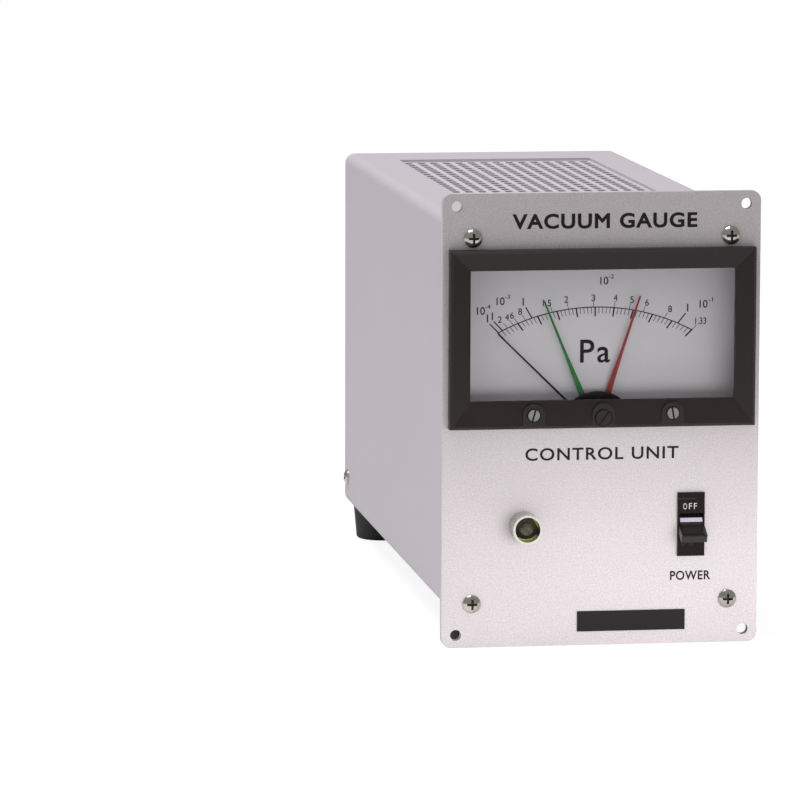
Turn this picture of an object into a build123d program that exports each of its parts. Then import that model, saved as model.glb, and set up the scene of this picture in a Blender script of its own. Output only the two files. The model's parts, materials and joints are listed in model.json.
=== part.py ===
from build123d import *
import os
from math import asin, atan2, cos, degrees, pi, radians, sin, sqrt

# Vacuum gauge control unit: a dial meter, a pilot lamp and a power lever on a front panel, in a vented case.
# X is to the right, Y goes back into the unit and Z is up. The origin is the centre of the panel's
# mounting-hole pattern, on the panel's back face. All sizes are in millimetres.

# Front panel. Its height is stacked from the top: a margin, the meter bezel and the field below the bezel.
panel_above_bezel = 18.15
panel_below_bezel = 72.35
panel_lap = 1.7
panel_t = 3.0
panel_corner_r = 3.0
mount_hole_d = 3.6
mount_hole_edge_x = 4.7
mount_hole_edge_z = 4.2

# Case sleeve: a sheet wrapped round, open at both ends
case_w = 101.6
case_top_below_panel_top = 8.1
case_depth = 239.0
sheet_t = 1.0
case_bend_r = 3.5

# Top vent
vent_w = 70.0
vent_end_margin = 28.0
grille_t = 0.8
grille_lap = 4.0
slot_w = 2.7
slot_l = 5.2
slot_pitch_x = 4.6
slot_pitch_y = 7.2
slot_edge = 1.2

# M3 screws that hold the panel
screw_r = 1.5
screw_clearance = 0.2
thread_gap = 0.05
pan_head_r = 3.0
pan_head_h = 2.1
panel_screw_l = 8.0
panel_screw_side = 7.25
panel_screw_top_edge = 5.4
panel_screw_low_edge = 1.8
recess_arm = 3.4
recess_w = 0.8
recess_depth = 1.2

# Rails behind the panel
rail_t = 2.0
rail_depth = 12.0
rail_meter_gap = 0.8
rail_leg_h = 7.3

# Chassis plate and rear panel
chassis_t = 1.2
chassis_side_gap = 2.2
chassis_front_gap = 0.5
chassis_drop = 25.0
rear_t = 1.5
rear_recess = 1.0
rear_gap = 0.15
rear_flange = 13.0
side_screw_inset = 8.0
side_screw_up = 10.4
side_screw_l = 4.0
side_head_r = 2.75
side_head_h = 1.6

# Rubber feet. They reach down as far as the panel does.
foot_h = 11.7
foot_top_r = 10.5
foot_base_r = 9.4
foot_side_inset = 12.3
foot_end_inset = 11.5
foot_edge_r = 1.2
foot_bore_r = 4.2
foot_bore_depth = 6.5
foot_screw_r = 2.0
foot_head_r = 3.5
foot_head_h = 2.4
foot_nut_af = 7.0
foot_nut_h = 2.4
foot_screw_spare = 0.6

# Meter bezel and window
bezel_h = 58.5
bezel_side_margin = 2.0
bezel_depth = 4.5
bezel_chamfer = 1.0
window_side_border = 6.75
window_top_border = 6.75
window_bottom_border = 9.2
window_recess = 1.5
lip_t = 1.0
glass_t = 2.0
glass_gap = 0.1
skirt_ledge = 0.9
skirt_t = 1.0
cutout_gap = 0.25
pad_w = 7.4
pad_sink = 1.5

# Slotted adjusters in the bezel, with their heights above the bezel's lower edge
adjuster_x = 23.0
adjuster_up = 4.55
spindle_r = 1.5
running_gap = 0.05
adjuster_head_r = 1.9
adjuster_head_h = 1.4
head_gap = 0.3
head_proud = 0.4
slot_cut_w = 0.6
slot_cut_depth = 0.5
spindle_hole_gap = 0.5
zero_up = 3.35
zero_head_r = 2.6
zero_shaft_r = 1.3
zero_pin_r = 0.5
zero_pin_offset = 1.0
left_slot_angle = 15.0
right_slot_angle = -10.0
zero_slot_angle = 35.0

# Meter body behind the panel, and the four long screws that clamp panel and bezel to it
body_side_gap = 1.0
body_top_inset = 0.15
body_drop = 21.35
body_depth = 42.0
body_wall = 1.2
body_back_t = 2.0
meter_screw_r = 1.25
meter_screw_side = 5.8
meter_screw_top_edge = 2.35
meter_screw_low_edge = 3.45
meter_column_r = 2.2
meter_screw_bite = 2.5
meter_head_r = 2.2
meter_head_h = 1.6
terminal_x = 14.0
terminal_up = 32.15
terminal_r = 2.0
terminal_l = 9.0
terminal_nut_af = 8.0
terminal_nut_h = 2.0

# Dial, hub cover and pointers. From front to back, each gap follows the piece before it.
arm_cover_gap = 0.4
cover_needle_gap = 0.6
needle_pointer_gap = 0.5
pointer_gap = 0.4
pointer_dial_gap = 1.6
dial_t = 0.8
dial_gap = 0.2
dial_low_up = 1.75
dial_top_inset = 4.95
dial_notch_gap = 0.7
pivot_below_bezel = 2.25
cover_r = 13.0
cover_t = 0.8
tongue_w = 12.0
tongue_foot = 6.0
needle_t = 0.3
needle_l = 46.0
needle_tail = 8.0
needle_root_w = 0.9
needle_tip_w = 0.45
needle_hub_r = 2.0
needle_angle = -45.7
set_pointer_t = 0.4
set_pointer_l = 46.2
set_root_w = 2.8
set_neck_w = 0.9
set_neck_l = 28.0
set_tip_w = 0.55
set_hub_r = 4.6
green_angle = -22.4
red_angle = 18.3

# Pointer sleeve, toothed sectors and pinions
staff_r = 0.6
staff_clearance = 0.4
sleeve_wall = 0.6
tube_wall = 0.65
sector_t = 1.2
dial_sector_gap = 1.2
sector_gap = 0.8
sector_plate_gap = 1.3
plate_t = 1.2
plate_margin = 1.0
sector_teeth = 40
pinion_teeth = 20
addendum_ratio = 0.75
dedendum_ratio = 0.95
tooth_thickness_ratio = 0.36
flank_angle = 20.0
sector_cut_teeth = 13
sector_web = 2.6
arm_w = 5.0

# Moving-coil movement
yoke_r = 13.0
yoke_bore_r = 10.0
yoke_l = 16.0
core_r = 7.5
core_l = 11.0
coil_gap = 0.5
coil_t = 1.2
coil_w = 3.0
coil_end_t = 1.0
coil_front_gap = 1.3
spacer_w = 4.4
spacer_l = 8.0
bridge_t = 1.2
bridge_w = 6.0
bridge_standoff = 1.0
bridge_foot_inset = 1.0
pillar_r = 2.0
pillar_x = 26.0
pillar_rise = 14.0
zero_arm_t = 0.8
zero_arm_y = 1.8
zero_boss_r = 1.5
zero_ring_r = 3.2
zero_fork_gap = 0.3
zero_fork_wall = 0.8
zero_fork_past = 1.2

# Pilot lamp, placed from the panel's left edge and from the bezel
lamp_side = 27.0
lamp_below_bezel = 32.45
lamp_r = 4.8
lamp_proud = 8.7
lamp_wall = 0.7
lamp_barrel_r = 3.9
lamp_barrel_l = 10.0
lamp_barrel_bore_r = 3.0
lamp_hole_gap = 0.15
lens_recess = 1.6
lens_dome = 1.6
lens_l = 4.0
bulb_r = 2.4
bulb_l = 11.0
lamp_nut_af = 11.0
lamp_nut_h = 2.5

# Power switch: a paddle lever that rocks in a slim housing, placed from the panel's right edge and the bezel
switch_side = 22.4
switch_below_bezel = 32.8
switch_face_w = 8.95
switch_face_h = 21.0
switch_face_t = 1.2
switch_body_w = 8.3
switch_body_h = 19.2
switch_body_depth = 15.0
switch_hole_gap = 0.1
drum_r = 3.2
drum_w = 7.4
drum_gap = 0.25
drum_proud = 0.4
drum_end_gap = 0.4
lever_half_angle = 25.0
paddle_w = 8.5
paddle_t = 2.7
paddle_l = 9.75
paddle_face_gap = 0.25
paddle_edge_r = 0.4
scoop_w = 6.7
scoop_l = 4.6
scoop_rim = 0.5
scoop_depth = 1.1
lever_pin_r = 0.6
lever_pin_bite = 0.15
tab_w = 4.8
tab_t = 0.8
tab_l = 8.0
tab_pitch = 7.0

# Label plate, left bare
label_w = 35.9
label_h = 6.7
label_t = 0.5
label_x = 10.4
label_up = 7.95

# Main board and what stands on it
board_side_gap = 5.6
board_end_gap = 2.0
board_t = 1.6
board_y = 62.0
standoff_r = 2.6
standoff_h = 8.0
board_hole_inset = 5.0
module_w = 32.0
module_l = 52.0
module_h = 22.0
module_edge_gap = 1.0
relay_w = 16.0
relay_l = 20.0
relay_h = 15.5
relay_pitch = 24.0
relay_count = 2
relay_edge_gap = 3.0
capacitor_r = 6.3
capacitor_h = 25.0
capacitor_pitch = 16.0
capacitor_count = 3

# Mains transformer, behind the board
core_w = 48.0
core_h = 40.0
core_stack = 16.0
core_limb = 8.0
core_from_rear = 43.0
core_x = -12.0
winding_d = 28.0
winding_gap = 0.3
winding_corner_r = 2.0
core_foot_t = 3.0
core_foot_w = 9.0

# Rear panel fittings, placed from the case's inner side and its inner floor
inlet_side = 22.8
inlet_up = 33.8
inlet_flange_w = 30.0
inlet_flange_h = 40.0
inlet_flange_t = 2.5
inlet_cavity_w = 24.4
inlet_cavity_h = 16.6
inlet_flange_corner = 4.5
inlet_mouth_corner = 2.25
inlet_depth = 17.0
inlet_wall = 1.6
inlet_screw_pitch = 32.0
blade_w = 4.0
blade_t = 2.0
blade_l = 15.0
blade_spread = 14.0
blade_rise = 4.0
fuse_side = 22.8
fuse_up = 83.8
fuse_flange_r = 7.5
fuse_cap_r = 6.75
fuse_cap_h = 9.0
fuse_slot_w = 0.8
fuse_slot_depth = 1.0
fuse_body_r = 6.0
fuse_body_l = 30.0
fuse_flange_t = 1.5
socket_side = 24.8
socket_up = 97.8
socket_r = 5.8
socket_l = 14.0
socket_wall = 0.9
socket_flange_r = 9.0
socket_flange_t = 2.0
socket_barrel_l = 10.0
insulator_r = 3.2
insulator_nose_l = 9.8
insulator_bore_r = 1.1
block_side = 24.8
block_up = 53.8
block_w = 16.0
block_h = 50.0
block_depth = 12.0
block_ways = 4
block_barrier = 1.5
block_step = 5.0
way_head_r = 2.7
ground_side = 19.8
ground_up = 13.8
ground_r = 2.0
ground_l = 13.0
ground_knob_r = 4.8
ground_knob_h = 6.0
ground_nut_af = 9.6
ground_nut_h = 3.0

# Places worked out from the sizes above
front_y = -panel_t
panel_w = case_w + 2 * panel_lap
panel_h = panel_above_bezel + bezel_h + panel_below_bezel
case_top = panel_h / 2 - case_top_below_panel_top
case_bottom = foot_h - panel_h / 2
case_h = case_top - case_bottom
case_mid_z = (case_top + case_bottom) / 2
inner_half_w = case_w / 2 - sheet_t
inner_top = case_top - sheet_t
inner_bottom = case_bottom + sheet_t
mount_hole_x = panel_w / 2 - mount_hole_edge_x
mount_hole_z = panel_h / 2 - mount_hole_edge_z
panel_screw_x = inner_half_w - panel_screw_side
panel_screw_top_z = inner_top - panel_screw_top_edge
panel_screw_low_z = inner_bottom + panel_screw_low_edge
vent_l = case_depth - 2 * vent_end_margin
rear_back_y = case_depth - rear_recess
rear_front_y = rear_back_y - rear_t
chassis_z = inner_bottom + rail_leg_h
chassis_drop_y = case_depth - chassis_drop
foot_x = case_w / 2 - foot_side_inset
foot_rows = (foot_end_inset, case_depth - foot_end_inset)
foot_places = [(sx * foot_x, y) for sx in (-1, 1) for y in foot_rows]
bezel_w = panel_w - 2 * bezel_side_margin
bezel_top = panel_h / 2 - panel_above_bezel
bezel_bottom = bezel_top - bezel_h
bezel_front = front_y - bezel_depth
bezel_mid_z = bezel_bottom + bezel_h / 2
adjuster_z = bezel_bottom + adjuster_up
zero_z = bezel_bottom + zero_up
pivot_z = bezel_bottom - pivot_below_bezel
window_w = bezel_w - 2 * window_side_border
window_low = bezel_bottom + window_bottom_border
window_high = bezel_bottom + bezel_h - window_top_border
window_h = window_high - window_low
window_mid_z = (window_high + window_low) / 2
window_front = bezel_front + window_recess
glass_front = window_front + lip_t
pocket_w = window_w + 2 * skirt_ledge
pocket_h = window_h + 2 * skirt_ledge
skirt_w = pocket_w + 2 * skirt_t
skirt_h = pocket_h + 2 * skirt_t
body_w = 2 * (inner_half_w - body_side_gap)
body_top = bezel_top - body_top_inset
body_bottom = bezel_bottom - body_drop
body_back_y = body_depth - body_back_t
body_inner_half_w = body_w / 2 - body_wall
body_floor = body_bottom + body_wall
meter_screw_x = body_w / 2 - meter_screw_side
meter_screw_low_z = bezel_bottom + meter_screw_low_edge
meter_screw_rows = (bezel_top - meter_screw_top_edge, meter_screw_low_z)
meter_screw_places = [(sx * meter_screw_x, z) for sx in (-1, 1) for z in meter_screw_rows]
terminal_z = bezel_bottom + terminal_up
dial_low_z = bezel_bottom + dial_low_up
dial_high_z = bezel_top - dial_top_inset
cover_y = zero_arm_y + zero_arm_t + arm_cover_gap
needle_y = cover_y + cover_t + cover_needle_gap
green_y = needle_y + needle_t + needle_pointer_gap
red_y = green_y + set_pointer_t + pointer_gap
dial_y = red_y + set_pointer_t + pointer_dial_gap
red_sector_y = dial_y + dial_t + dial_sector_gap
green_sector_y = red_sector_y + sector_t + sector_gap
plate_y = green_sector_y + sector_t + sector_plate_gap
sleeve_bore_r = staff_r + staff_clearance
sleeve_r = sleeve_bore_r + sleeve_wall
green_bore_r = sleeve_r + running_gap
green_tube_r = green_bore_r + tube_wall
red_bore_r = green_tube_r + running_gap
red_tube_r = red_bore_r + tube_wall
centre_distance = sqrt(adjuster_x ** 2 + (adjuster_z - pivot_z) ** 2)
gear_module = 2 * centre_distance / (sector_teeth + pinion_teeth)
mesh_angle = degrees(atan2(adjuster_x, adjuster_z - pivot_z))
yoke_y = plate_y + plate_t
coil_front = yoke_y + coil_front_gap
core_y0 = coil_front + coil_end_t + coil_gap
coil_back = core_y0 + core_l + coil_gap + coil_end_t
bridge_y = yoke_y + yoke_l + bridge_standoff
lamp_x = lamp_side - panel_w / 2
lamp_z = bezel_bottom - lamp_below_bezel
switch_x = panel_w / 2 - switch_side
switch_z = bezel_bottom - switch_below_bezel
switch_face_y = front_y - switch_face_t
lever_y = switch_face_y - drum_proud + drum_r
label_z = label_up - panel_h / 2
board_w = 2 * (inner_half_w - chassis_side_gap - board_side_gap)
core_y = case_depth - core_from_rear
board_l = core_y - winding_d / 2 - board_end_gap - board_y
board_z = chassis_z + chassis_t + standoff_h
inlet_x = inlet_side - inner_half_w
inlet_z = inner_bottom + inlet_up
fuse_x = fuse_side - inner_half_w
fuse_z = inner_bottom + fuse_up
socket_x = inner_half_w - socket_side
socket_z = inner_bottom + socket_up
block_x = inner_half_w - block_side
block_z = inner_bottom + block_up
ground_x = inner_half_w - ground_side
ground_z = inner_bottom + ground_up
hex_sides = 6

parts = {}


def box(x0, x1, y0, y1, z0, z1):
    """A block between two corners."""
    size = Box(x1 - x0, y1 - y0, z1 - z0)
    return Pos((x0 + x1) / 2, (y0 + y1) / 2, (z0 + z1) / 2) * size


def slab(sketch, front, back):
    """A sketch drawn in X and Z, made solid from one depth to another."""
    return extrude(Plane.XZ.offset(-back) * sketch, amount=back - front)


def rod(x, z, front, back, r):
    """A round bar along Y."""
    return slab(Pos(x, z) * Circle(r), front, back)


def tube(x, z, front, back, r, bore):
    """A round tube along Y."""
    return slab(Pos(x, z) * (Circle(r) - Circle(bore)), front, back)


def upright(x, y, low, high, r):
    """A round bar along Z."""
    return Pos(x, y, low) * extrude(Circle(r), amount=high - low)


def hexagon(x, z, front, back, across_flats):
    """A hexagon bar along Y, given by its size across the flats."""
    face = RegularPolygon(across_flats / 2, hex_sides, major_radius=False)
    return slab(Pos(x, z) * face, front, back)


def outline(points):
    """A flat face with straight sides through the given corners."""
    return make_face(Polyline(*points, close=True))


def across(points, x0, x1):
    """An outline drawn in Y and Z, made solid along X."""
    return Pos(x0, 0, 0) * extrude(Plane.YZ * outline(points), amount=x1 - x0)


def turned(shape, x, z, angle):
    """A shape turned clockwise, as seen from the front, about an axis along Y."""
    return Pos(x, 0, z) * Rot(0, angle, 0) * shape


def join(shapes):
    """Separate solids kept together in one sub-part."""
    return Compound(children=[solid for shape in shapes for solid in shape.solids()])


def dome(r, rise):
    """A spherical cap that stands on Z = 0 and rises by the given height."""
    ball_r = (r ** 2 + rise ** 2) / (2 * rise)
    ball = Pos(0, 0, rise - ball_r) * Sphere(ball_r)
    return ball & Pos(0, 0, rise) * Box(4 * r, 4 * r, 2 * rise)


# Front panel and its screws

def front_panel():
    face = RectangleRounded(panel_w, panel_h, panel_corner_r)
    for x in (-mount_hole_x, mount_hole_x):
        for z in (-mount_hole_z, mount_hole_z):
            face -= Pos(x, z) * Circle(mount_hole_d / 2)
    for x in (-panel_screw_x, panel_screw_x):
        for z in (panel_screw_low_z, panel_screw_top_z):
            face -= Pos(x, z) * Circle(screw_r + screw_clearance)
    cutout = Rectangle(skirt_w + 2 * cutout_gap, skirt_h + 2 * cutout_gap)
    face -= Pos(0, window_mid_z) * cutout
    for x, z in meter_screw_places:
        face -= Pos(x, z) * Circle(meter_screw_r + screw_clearance)
    for x in (-adjuster_x, adjuster_x):
        face -= Pos(x, adjuster_z) * Circle(spindle_r + spindle_hole_gap)
    face -= Pos(0, zero_z) * Circle(zero_shaft_r + spindle_hole_gap)
    face -= Pos(lamp_x, lamp_z) * Circle(lamp_barrel_r + lamp_hole_gap)
    switch_hole = Rectangle(switch_body_w + 2 * switch_hole_gap, switch_body_h + 2 * switch_hole_gap)
    face -= Pos(switch_x, switch_z) * switch_hole
    return slab(face, front_y, 0)


def pan_screw(shank_r, shank_l, head_r, head_h):
    """A cross-recessed pan-head screw that points down, with the underside of its head at Z = 0."""
    skirt_h = head_h / 3
    head = extrude(Circle(head_r), amount=skirt_h) + Pos(0, 0, skirt_h) * dome(head_r, head_h - skirt_h)
    shank = Pos(0, 0, -shank_l) * extrude(Circle(shank_r), amount=shank_l)
    cross = Rectangle(recess_arm, recess_w) + Rectangle(recess_w, recess_arm)
    recess = Pos(0, 0, head_h - recess_depth) * extrude(cross, amount=recess_depth)
    return head + shank - recess


def panel_screws():
    one = Rot(90, 0, 0) * pan_screw(screw_r, panel_screw_l, pan_head_r, pan_head_h)
    rows = (panel_screw_low_z, panel_screw_top_z)
    return join([Pos(sx * panel_screw_x, front_y, z) * one for sx in (-1, 1) for z in rows])


# Case sleeve, vent grille, rails, chassis and rear panel

def case_sleeve():
    outer = RectangleRounded(case_w, case_h, case_bend_r)
    inner = RectangleRounded(case_w - 2 * sheet_t, case_h - 2 * sheet_t, case_bend_r - sheet_t)
    shell = slab(Pos(0, case_mid_z) * (outer - inner), 0, case_depth)
    window = Rectangle(vent_w, vent_l)
    shell -= Pos(0, case_depth / 2, inner_top - sheet_t) * extrude(window, amount=3 * sheet_t)
    for x, y in foot_places:
        shell -= upright(x, y, case_bottom - sheet_t, inner_bottom + sheet_t, foot_screw_r + screw_clearance)
    side_hole = Rot(0, 90, 0) * Cylinder(screw_r + screw_clearance, 2 * case_w)
    return shell - Pos(0, case_depth - side_screw_inset, case_bottom + side_screw_up) * side_hole


def vent_grille():
    w = vent_w + 2 * grille_lap
    length = vent_l + 2 * grille_lap
    columns = int((vent_w - 2 * slot_edge - slot_w) / slot_pitch_x) + 1
    rows = int((vent_l - 2 * slot_edge - slot_l) / slot_pitch_y) + 1
    slots = GridLocations(slot_pitch_x, slot_pitch_y, columns, rows) * Rectangle(slot_w, slot_l)
    sheet = extrude(Rectangle(w, length) - slots, amount=grille_t)
    return Pos(0, case_depth / 2, inner_top - grille_t) * sheet


def rail(low, high, leg_low):
    """An angle rail across the case: an upright leg against the panel and a level leg going back."""
    bar = box(-inner_half_w, inner_half_w, 0, rail_t, low, high)
    bar += box(-inner_half_w, inner_half_w, 0, rail_depth, leg_low, leg_low + rail_t)
    return bar


def corner_cleared(bar):
    """The part of a bar that lies inside the sleeve's rounded corners."""
    inner = RectangleRounded(case_w - 2 * sheet_t, case_h - 2 * sheet_t, case_bend_r - sheet_t)
    return bar & slab(Pos(0, case_mid_z) * inner, 0, case_depth)


def with_tapped_holes(bar, z):
    for x in (-panel_screw_x, panel_screw_x):
        bar -= rod(x, z, 0, rail_t, screw_r + thread_gap)
    return bar


def top_rail():
    bar = rail(body_top + rail_meter_gap, inner_top, inner_top - rail_t)
    return with_tapped_holes(corner_cleared(bar), panel_screw_top_z)


def bottom_rail():
    bar = rail(inner_bottom, chassis_z, chassis_z - rail_t)
    return with_tapped_holes(corner_cleared(bar), panel_screw_low_z)


def chassis_plate():
    half_w = inner_half_w - chassis_side_gap
    front = rail_t + chassis_front_gap
    lip_back = case_depth - foot_end_inset + foot_nut_af
    top = chassis_z + chassis_t
    back = chassis_drop_y
    profile = [(front, chassis_z), (back - chassis_t, chassis_z), (back - chassis_t, inner_bottom)]
    profile += [(lip_back, inner_bottom), (lip_back, inner_bottom + chassis_t)]
    profile += [(back, inner_bottom + chassis_t), (back, top), (front, top)]
    plate = corner_cleared(across(profile, -half_w, half_w))
    for x, y in foot_places:
        if y > chassis_drop_y:
            plate -= upright(x, y, inner_bottom, top, foot_screw_r + screw_clearance)
    for x, y in board_places():
        plate -= upright(x, y, chassis_z, top, screw_r + thread_gap)
    for x in (-1, 1):
        plate -= upright(core_x + x * core_screw_x(), core_y, chassis_z, top, screw_r + thread_gap)
    return plate


def rear_panel():
    half_w = inner_half_w - rear_gap
    low = inner_bottom + rear_gap
    high = inner_top - rear_gap
    mid = (low + high) / 2
    corner = max(case_bend_r - sheet_t - rear_gap, rear_gap)
    face = Pos(0, mid) * RectangleRounded(2 * half_w, high - low, corner)
    plate = slab(face, rear_front_y, rear_back_y)
    for side in (-1, 1):
        outer = side * half_w
        inner = side * (half_w - rear_t)
        x0, x1 = sorted((outer, inner))
        plate += box(x0, x1, rear_back_y - rear_flange, rear_back_y, low + case_bend_r, high - case_bend_r)
    flange_hole = Rot(0, 90, 0) * Cylinder(screw_r + thread_gap, 2 * half_w)
    plate -= Pos(0, case_depth - side_screw_inset, case_bottom + side_screw_up) * flange_hole
    through = (rear_front_y - rear_t, rear_back_y + rear_t)
    inlet_edge = 2 * (inlet_wall + rear_gap)
    inlet_hole = Rectangle(inlet_cavity_w + inlet_edge, inlet_cavity_h + inlet_edge)
    plate -= slab(Pos(inlet_x, inlet_z) * inlet_hole, *through)
    for z in (-1, 1):
        plate -= rod(inlet_x, inlet_z + z * inlet_screw_pitch / 2, *through, screw_r + thread_gap)
        plate -= rod(block_x, block_z + z * block_screw_span() / 2, *through, screw_r + thread_gap)
    plate -= rod(fuse_x, fuse_z, *through, fuse_body_r + rear_gap)
    plate -= rod(socket_x, socket_z, *through, socket_r + rear_gap)
    return plate - rod(ground_x, ground_z, *through, ground_r + rear_gap)


def side_screws():
    screw = pan_screw(screw_r, side_screw_l, side_head_r, side_head_h)
    y = case_depth - side_screw_inset
    z = case_bottom + side_screw_up
    left = Pos(-case_w / 2, y, z) * Rot(0, -90, 0) * screw
    right = Pos(case_w / 2, y, z) * Rot(0, 90, 0) * screw
    return join([left, right])


# Feet

def rubber_feet():
    cone = loft([Circle(foot_base_r), Pos(0, 0, foot_h) * Circle(foot_top_r)])
    bore = extrude(Circle(foot_bore_r), amount=foot_bore_depth)
    hole = extrude(Circle(foot_screw_r + screw_clearance), amount=foot_h)
    cone = fillet(cone.edges().sort_by(Axis.Z)[0], foot_edge_r)
    foot = cone - bore - hole
    return join([Pos(x, y, -panel_h / 2) * foot for x, y in foot_places])


def foot_screws():
    seat = -panel_h / 2 + foot_bore_depth
    tip = inner_bottom + chassis_t + foot_nut_h + foot_screw_spare
    screw = upright(0, 0, seat - foot_head_h, seat, foot_head_r) + upright(0, 0, seat, tip, foot_screw_r)
    return join([Pos(x, y, 0) * screw for x, y in foot_places])


def foot_nuts():
    face = RegularPolygon(foot_nut_af / 2, hex_sides, major_radius=False)
    nut = extrude(face - Circle(foot_screw_r + thread_gap), amount=foot_nut_h)
    nuts = []
    for x, y in foot_places:
        seat = inner_bottom + chassis_t if y > chassis_drop_y else inner_bottom
        nuts.append(Pos(x, y, seat) * nut)
    return join(nuts)


# Meter: bezel, window and body

def pad(x, z, top_r):
    """A raised pad on the bezel's lower bar, round at the top and straight at the sides."""
    low = bezel_bottom + bezel_chamfer
    sketch = Pos(x, z) * Circle(top_r) + Pos(x, (z + low) / 2) * Rectangle(2 * top_r, z - low)
    return slab(sketch, bezel_front, bezel_front + pad_sink)


def meter_bezel():
    block = slab(Pos(0, bezel_mid_z) * Rectangle(bezel_w, bezel_h), bezel_front, front_y)
    block = chamfer(block.faces().sort_by(Axis.Y)[0].edges(), bezel_chamfer)
    rim_w = bezel_w - 2 * bezel_chamfer
    rim_h = bezel_h - 2 * bezel_chamfer
    rim = Plane.XZ.offset(-bezel_front) * Pos(0, bezel_mid_z) * Rectangle(rim_w, rim_h)
    sill = Plane.XZ.offset(-window_front) * Pos(0, window_mid_z) * Rectangle(window_w, window_h)
    block -= loft([rim, sill])
    for x in (-adjuster_x, adjuster_x):
        block += pad(x, adjuster_z, pad_w / 2)
    block += pad(0, adjuster_z, pad_w / 2)
    pocket = Pos(0, window_mid_z) * Rectangle(pocket_w, pocket_h)
    block += slab(Pos(0, window_mid_z) * Rectangle(skirt_w, skirt_h), front_y, 0)
    block -= slab(Pos(0, window_mid_z) * Rectangle(window_w, window_h), bezel_front, front_y)
    block -= slab(pocket, glass_front, 0)
    for x, z in meter_screw_places:
        block -= rod(x, z, front_y - meter_screw_bite - screw_clearance, front_y, meter_screw_r + thread_gap)
    head_floor = bezel_front - head_proud + adjuster_head_h
    for x in (-adjuster_x, adjuster_x):
        block -= rod(x, adjuster_z, bezel_front, 0, spindle_r + running_gap)
        block -= rod(x, adjuster_z, bezel_front, head_floor + running_gap, adjuster_head_r + head_gap)
    block -= rod(0, zero_z, bezel_front, 0, zero_shaft_r + running_gap)
    return block - rod(0, zero_z, bezel_front, head_floor + running_gap, zero_head_r + head_gap)


def meter_window():
    pane = Rectangle(pocket_w - 2 * glass_gap, pocket_h - 2 * glass_gap)
    return slab(Pos(0, window_mid_z) * pane, glass_front, glass_front + glass_t)


def meter_body():
    height = body_top - body_bottom
    mid = (body_top + body_bottom) / 2
    outer = Pos(0, mid) * Rectangle(body_w, height)
    inner = Pos(0, mid) * Rectangle(body_w - 2 * body_wall, height - 2 * body_wall)
    shell = slab(outer, 0, body_depth) - slab(inner, 0, body_back_y)
    for x, z in meter_screw_places:
        shell += rod(x, z, 0, body_depth, meter_column_r)
    for x, z in meter_screw_places:
        shell -= rod(x, z, 0, body_depth, meter_screw_r + screw_clearance)
    for x in (-terminal_x, terminal_x):
        shell -= rod(x, terminal_z, body_back_y, body_depth, terminal_r + thread_gap)
    return shell


def meter_screws():
    screws = []
    for x, z in meter_screw_places:
        shank = rod(x, z, front_y - meter_screw_bite, body_depth, meter_screw_r)
        screws.append(shank + rod(x, z, body_depth, body_depth + meter_head_h, meter_head_r))
    return join(screws)


def meter_terminals():
    studs = []
    for x in (-terminal_x, terminal_x):
        stud = rod(x, terminal_z, body_back_y, body_depth + terminal_l, terminal_r)
        nut = hexagon(x, terminal_z, body_depth, body_depth + terminal_nut_h, terminal_nut_af)
        studs.append(stud + nut)
    return join(studs)


# Dial, hub cover and pointers

def dial_plate():
    half_w = body_inner_half_w - dial_gap
    mid_z = (dial_low_z + dial_high_z) / 2
    face = Pos(0, mid_z) * Rectangle(2 * half_w, dial_high_z - dial_low_z)
    notch_x = meter_screw_x - meter_column_r - dial_notch_gap
    notch_z = meter_screw_low_z + meter_column_r + dial_notch_gap
    notch = Rectangle(half_w - notch_x, notch_z - dial_low_z)
    for side in (-1, 1):
        face -= Pos(side * (notch_x + half_w) / 2, (notch_z + dial_low_z) / 2) * notch
    for x in (-adjuster_x, adjuster_x):
        face -= Pos(x, adjuster_z) * Circle(spindle_r + spindle_hole_gap)
    return slab(face, dial_y, dial_y + dial_t)


def hub_cover():
    disc = rod(0, pivot_z, cover_y, cover_y + cover_t, cover_r)
    disc += box(-tongue_w / 2, tongue_w / 2, cover_y, cover_y + cover_t, body_floor, pivot_z)
    disc += box(-tongue_w / 2, tongue_w / 2, cover_y, cover_y + tongue_foot, body_floor, body_floor + cover_t)
    disc += rod(0, pivot_z, zero_arm_y - running_gap, cover_y, zero_boss_r)
    return disc - rod(0, pivot_z, zero_arm_y - running_gap, cover_y + cover_t, staff_r + running_gap)


def blade(stations, tail):
    """A pointer that stands up from its hub, given by its width at each distance from the pivot."""
    root_w = stations[0][1]
    right = [(width / 2, reach) for reach, width in stations]
    left = [(-width / 2, reach) for reach, width in reversed(stations)]
    return outline([(-root_w / 2, -tail), (root_w / 2, -tail)] + right + left)


def needle():
    face = blade([(0, needle_root_w), (needle_l, needle_tip_w)], needle_tail) + Circle(needle_hub_r)
    face -= Circle(staff_r + thread_gap)
    return turned(slab(face, needle_y, needle_y + needle_t), 0, pivot_z, needle_angle)


def set_pointer(front, bore, angle):
    """A set pointer tapers quickly to its neck and then slowly to its tip."""
    stations = [(0, set_root_w), (set_neck_l, set_neck_w), (set_pointer_l, set_tip_w)]
    face = blade(stations, set_hub_r / 2) + Circle(set_hub_r)
    face -= Circle(bore + thread_gap)
    return turned(slab(face, front, front + set_pointer_t), 0, pivot_z, angle)


# Toothed sectors and pinions

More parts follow.
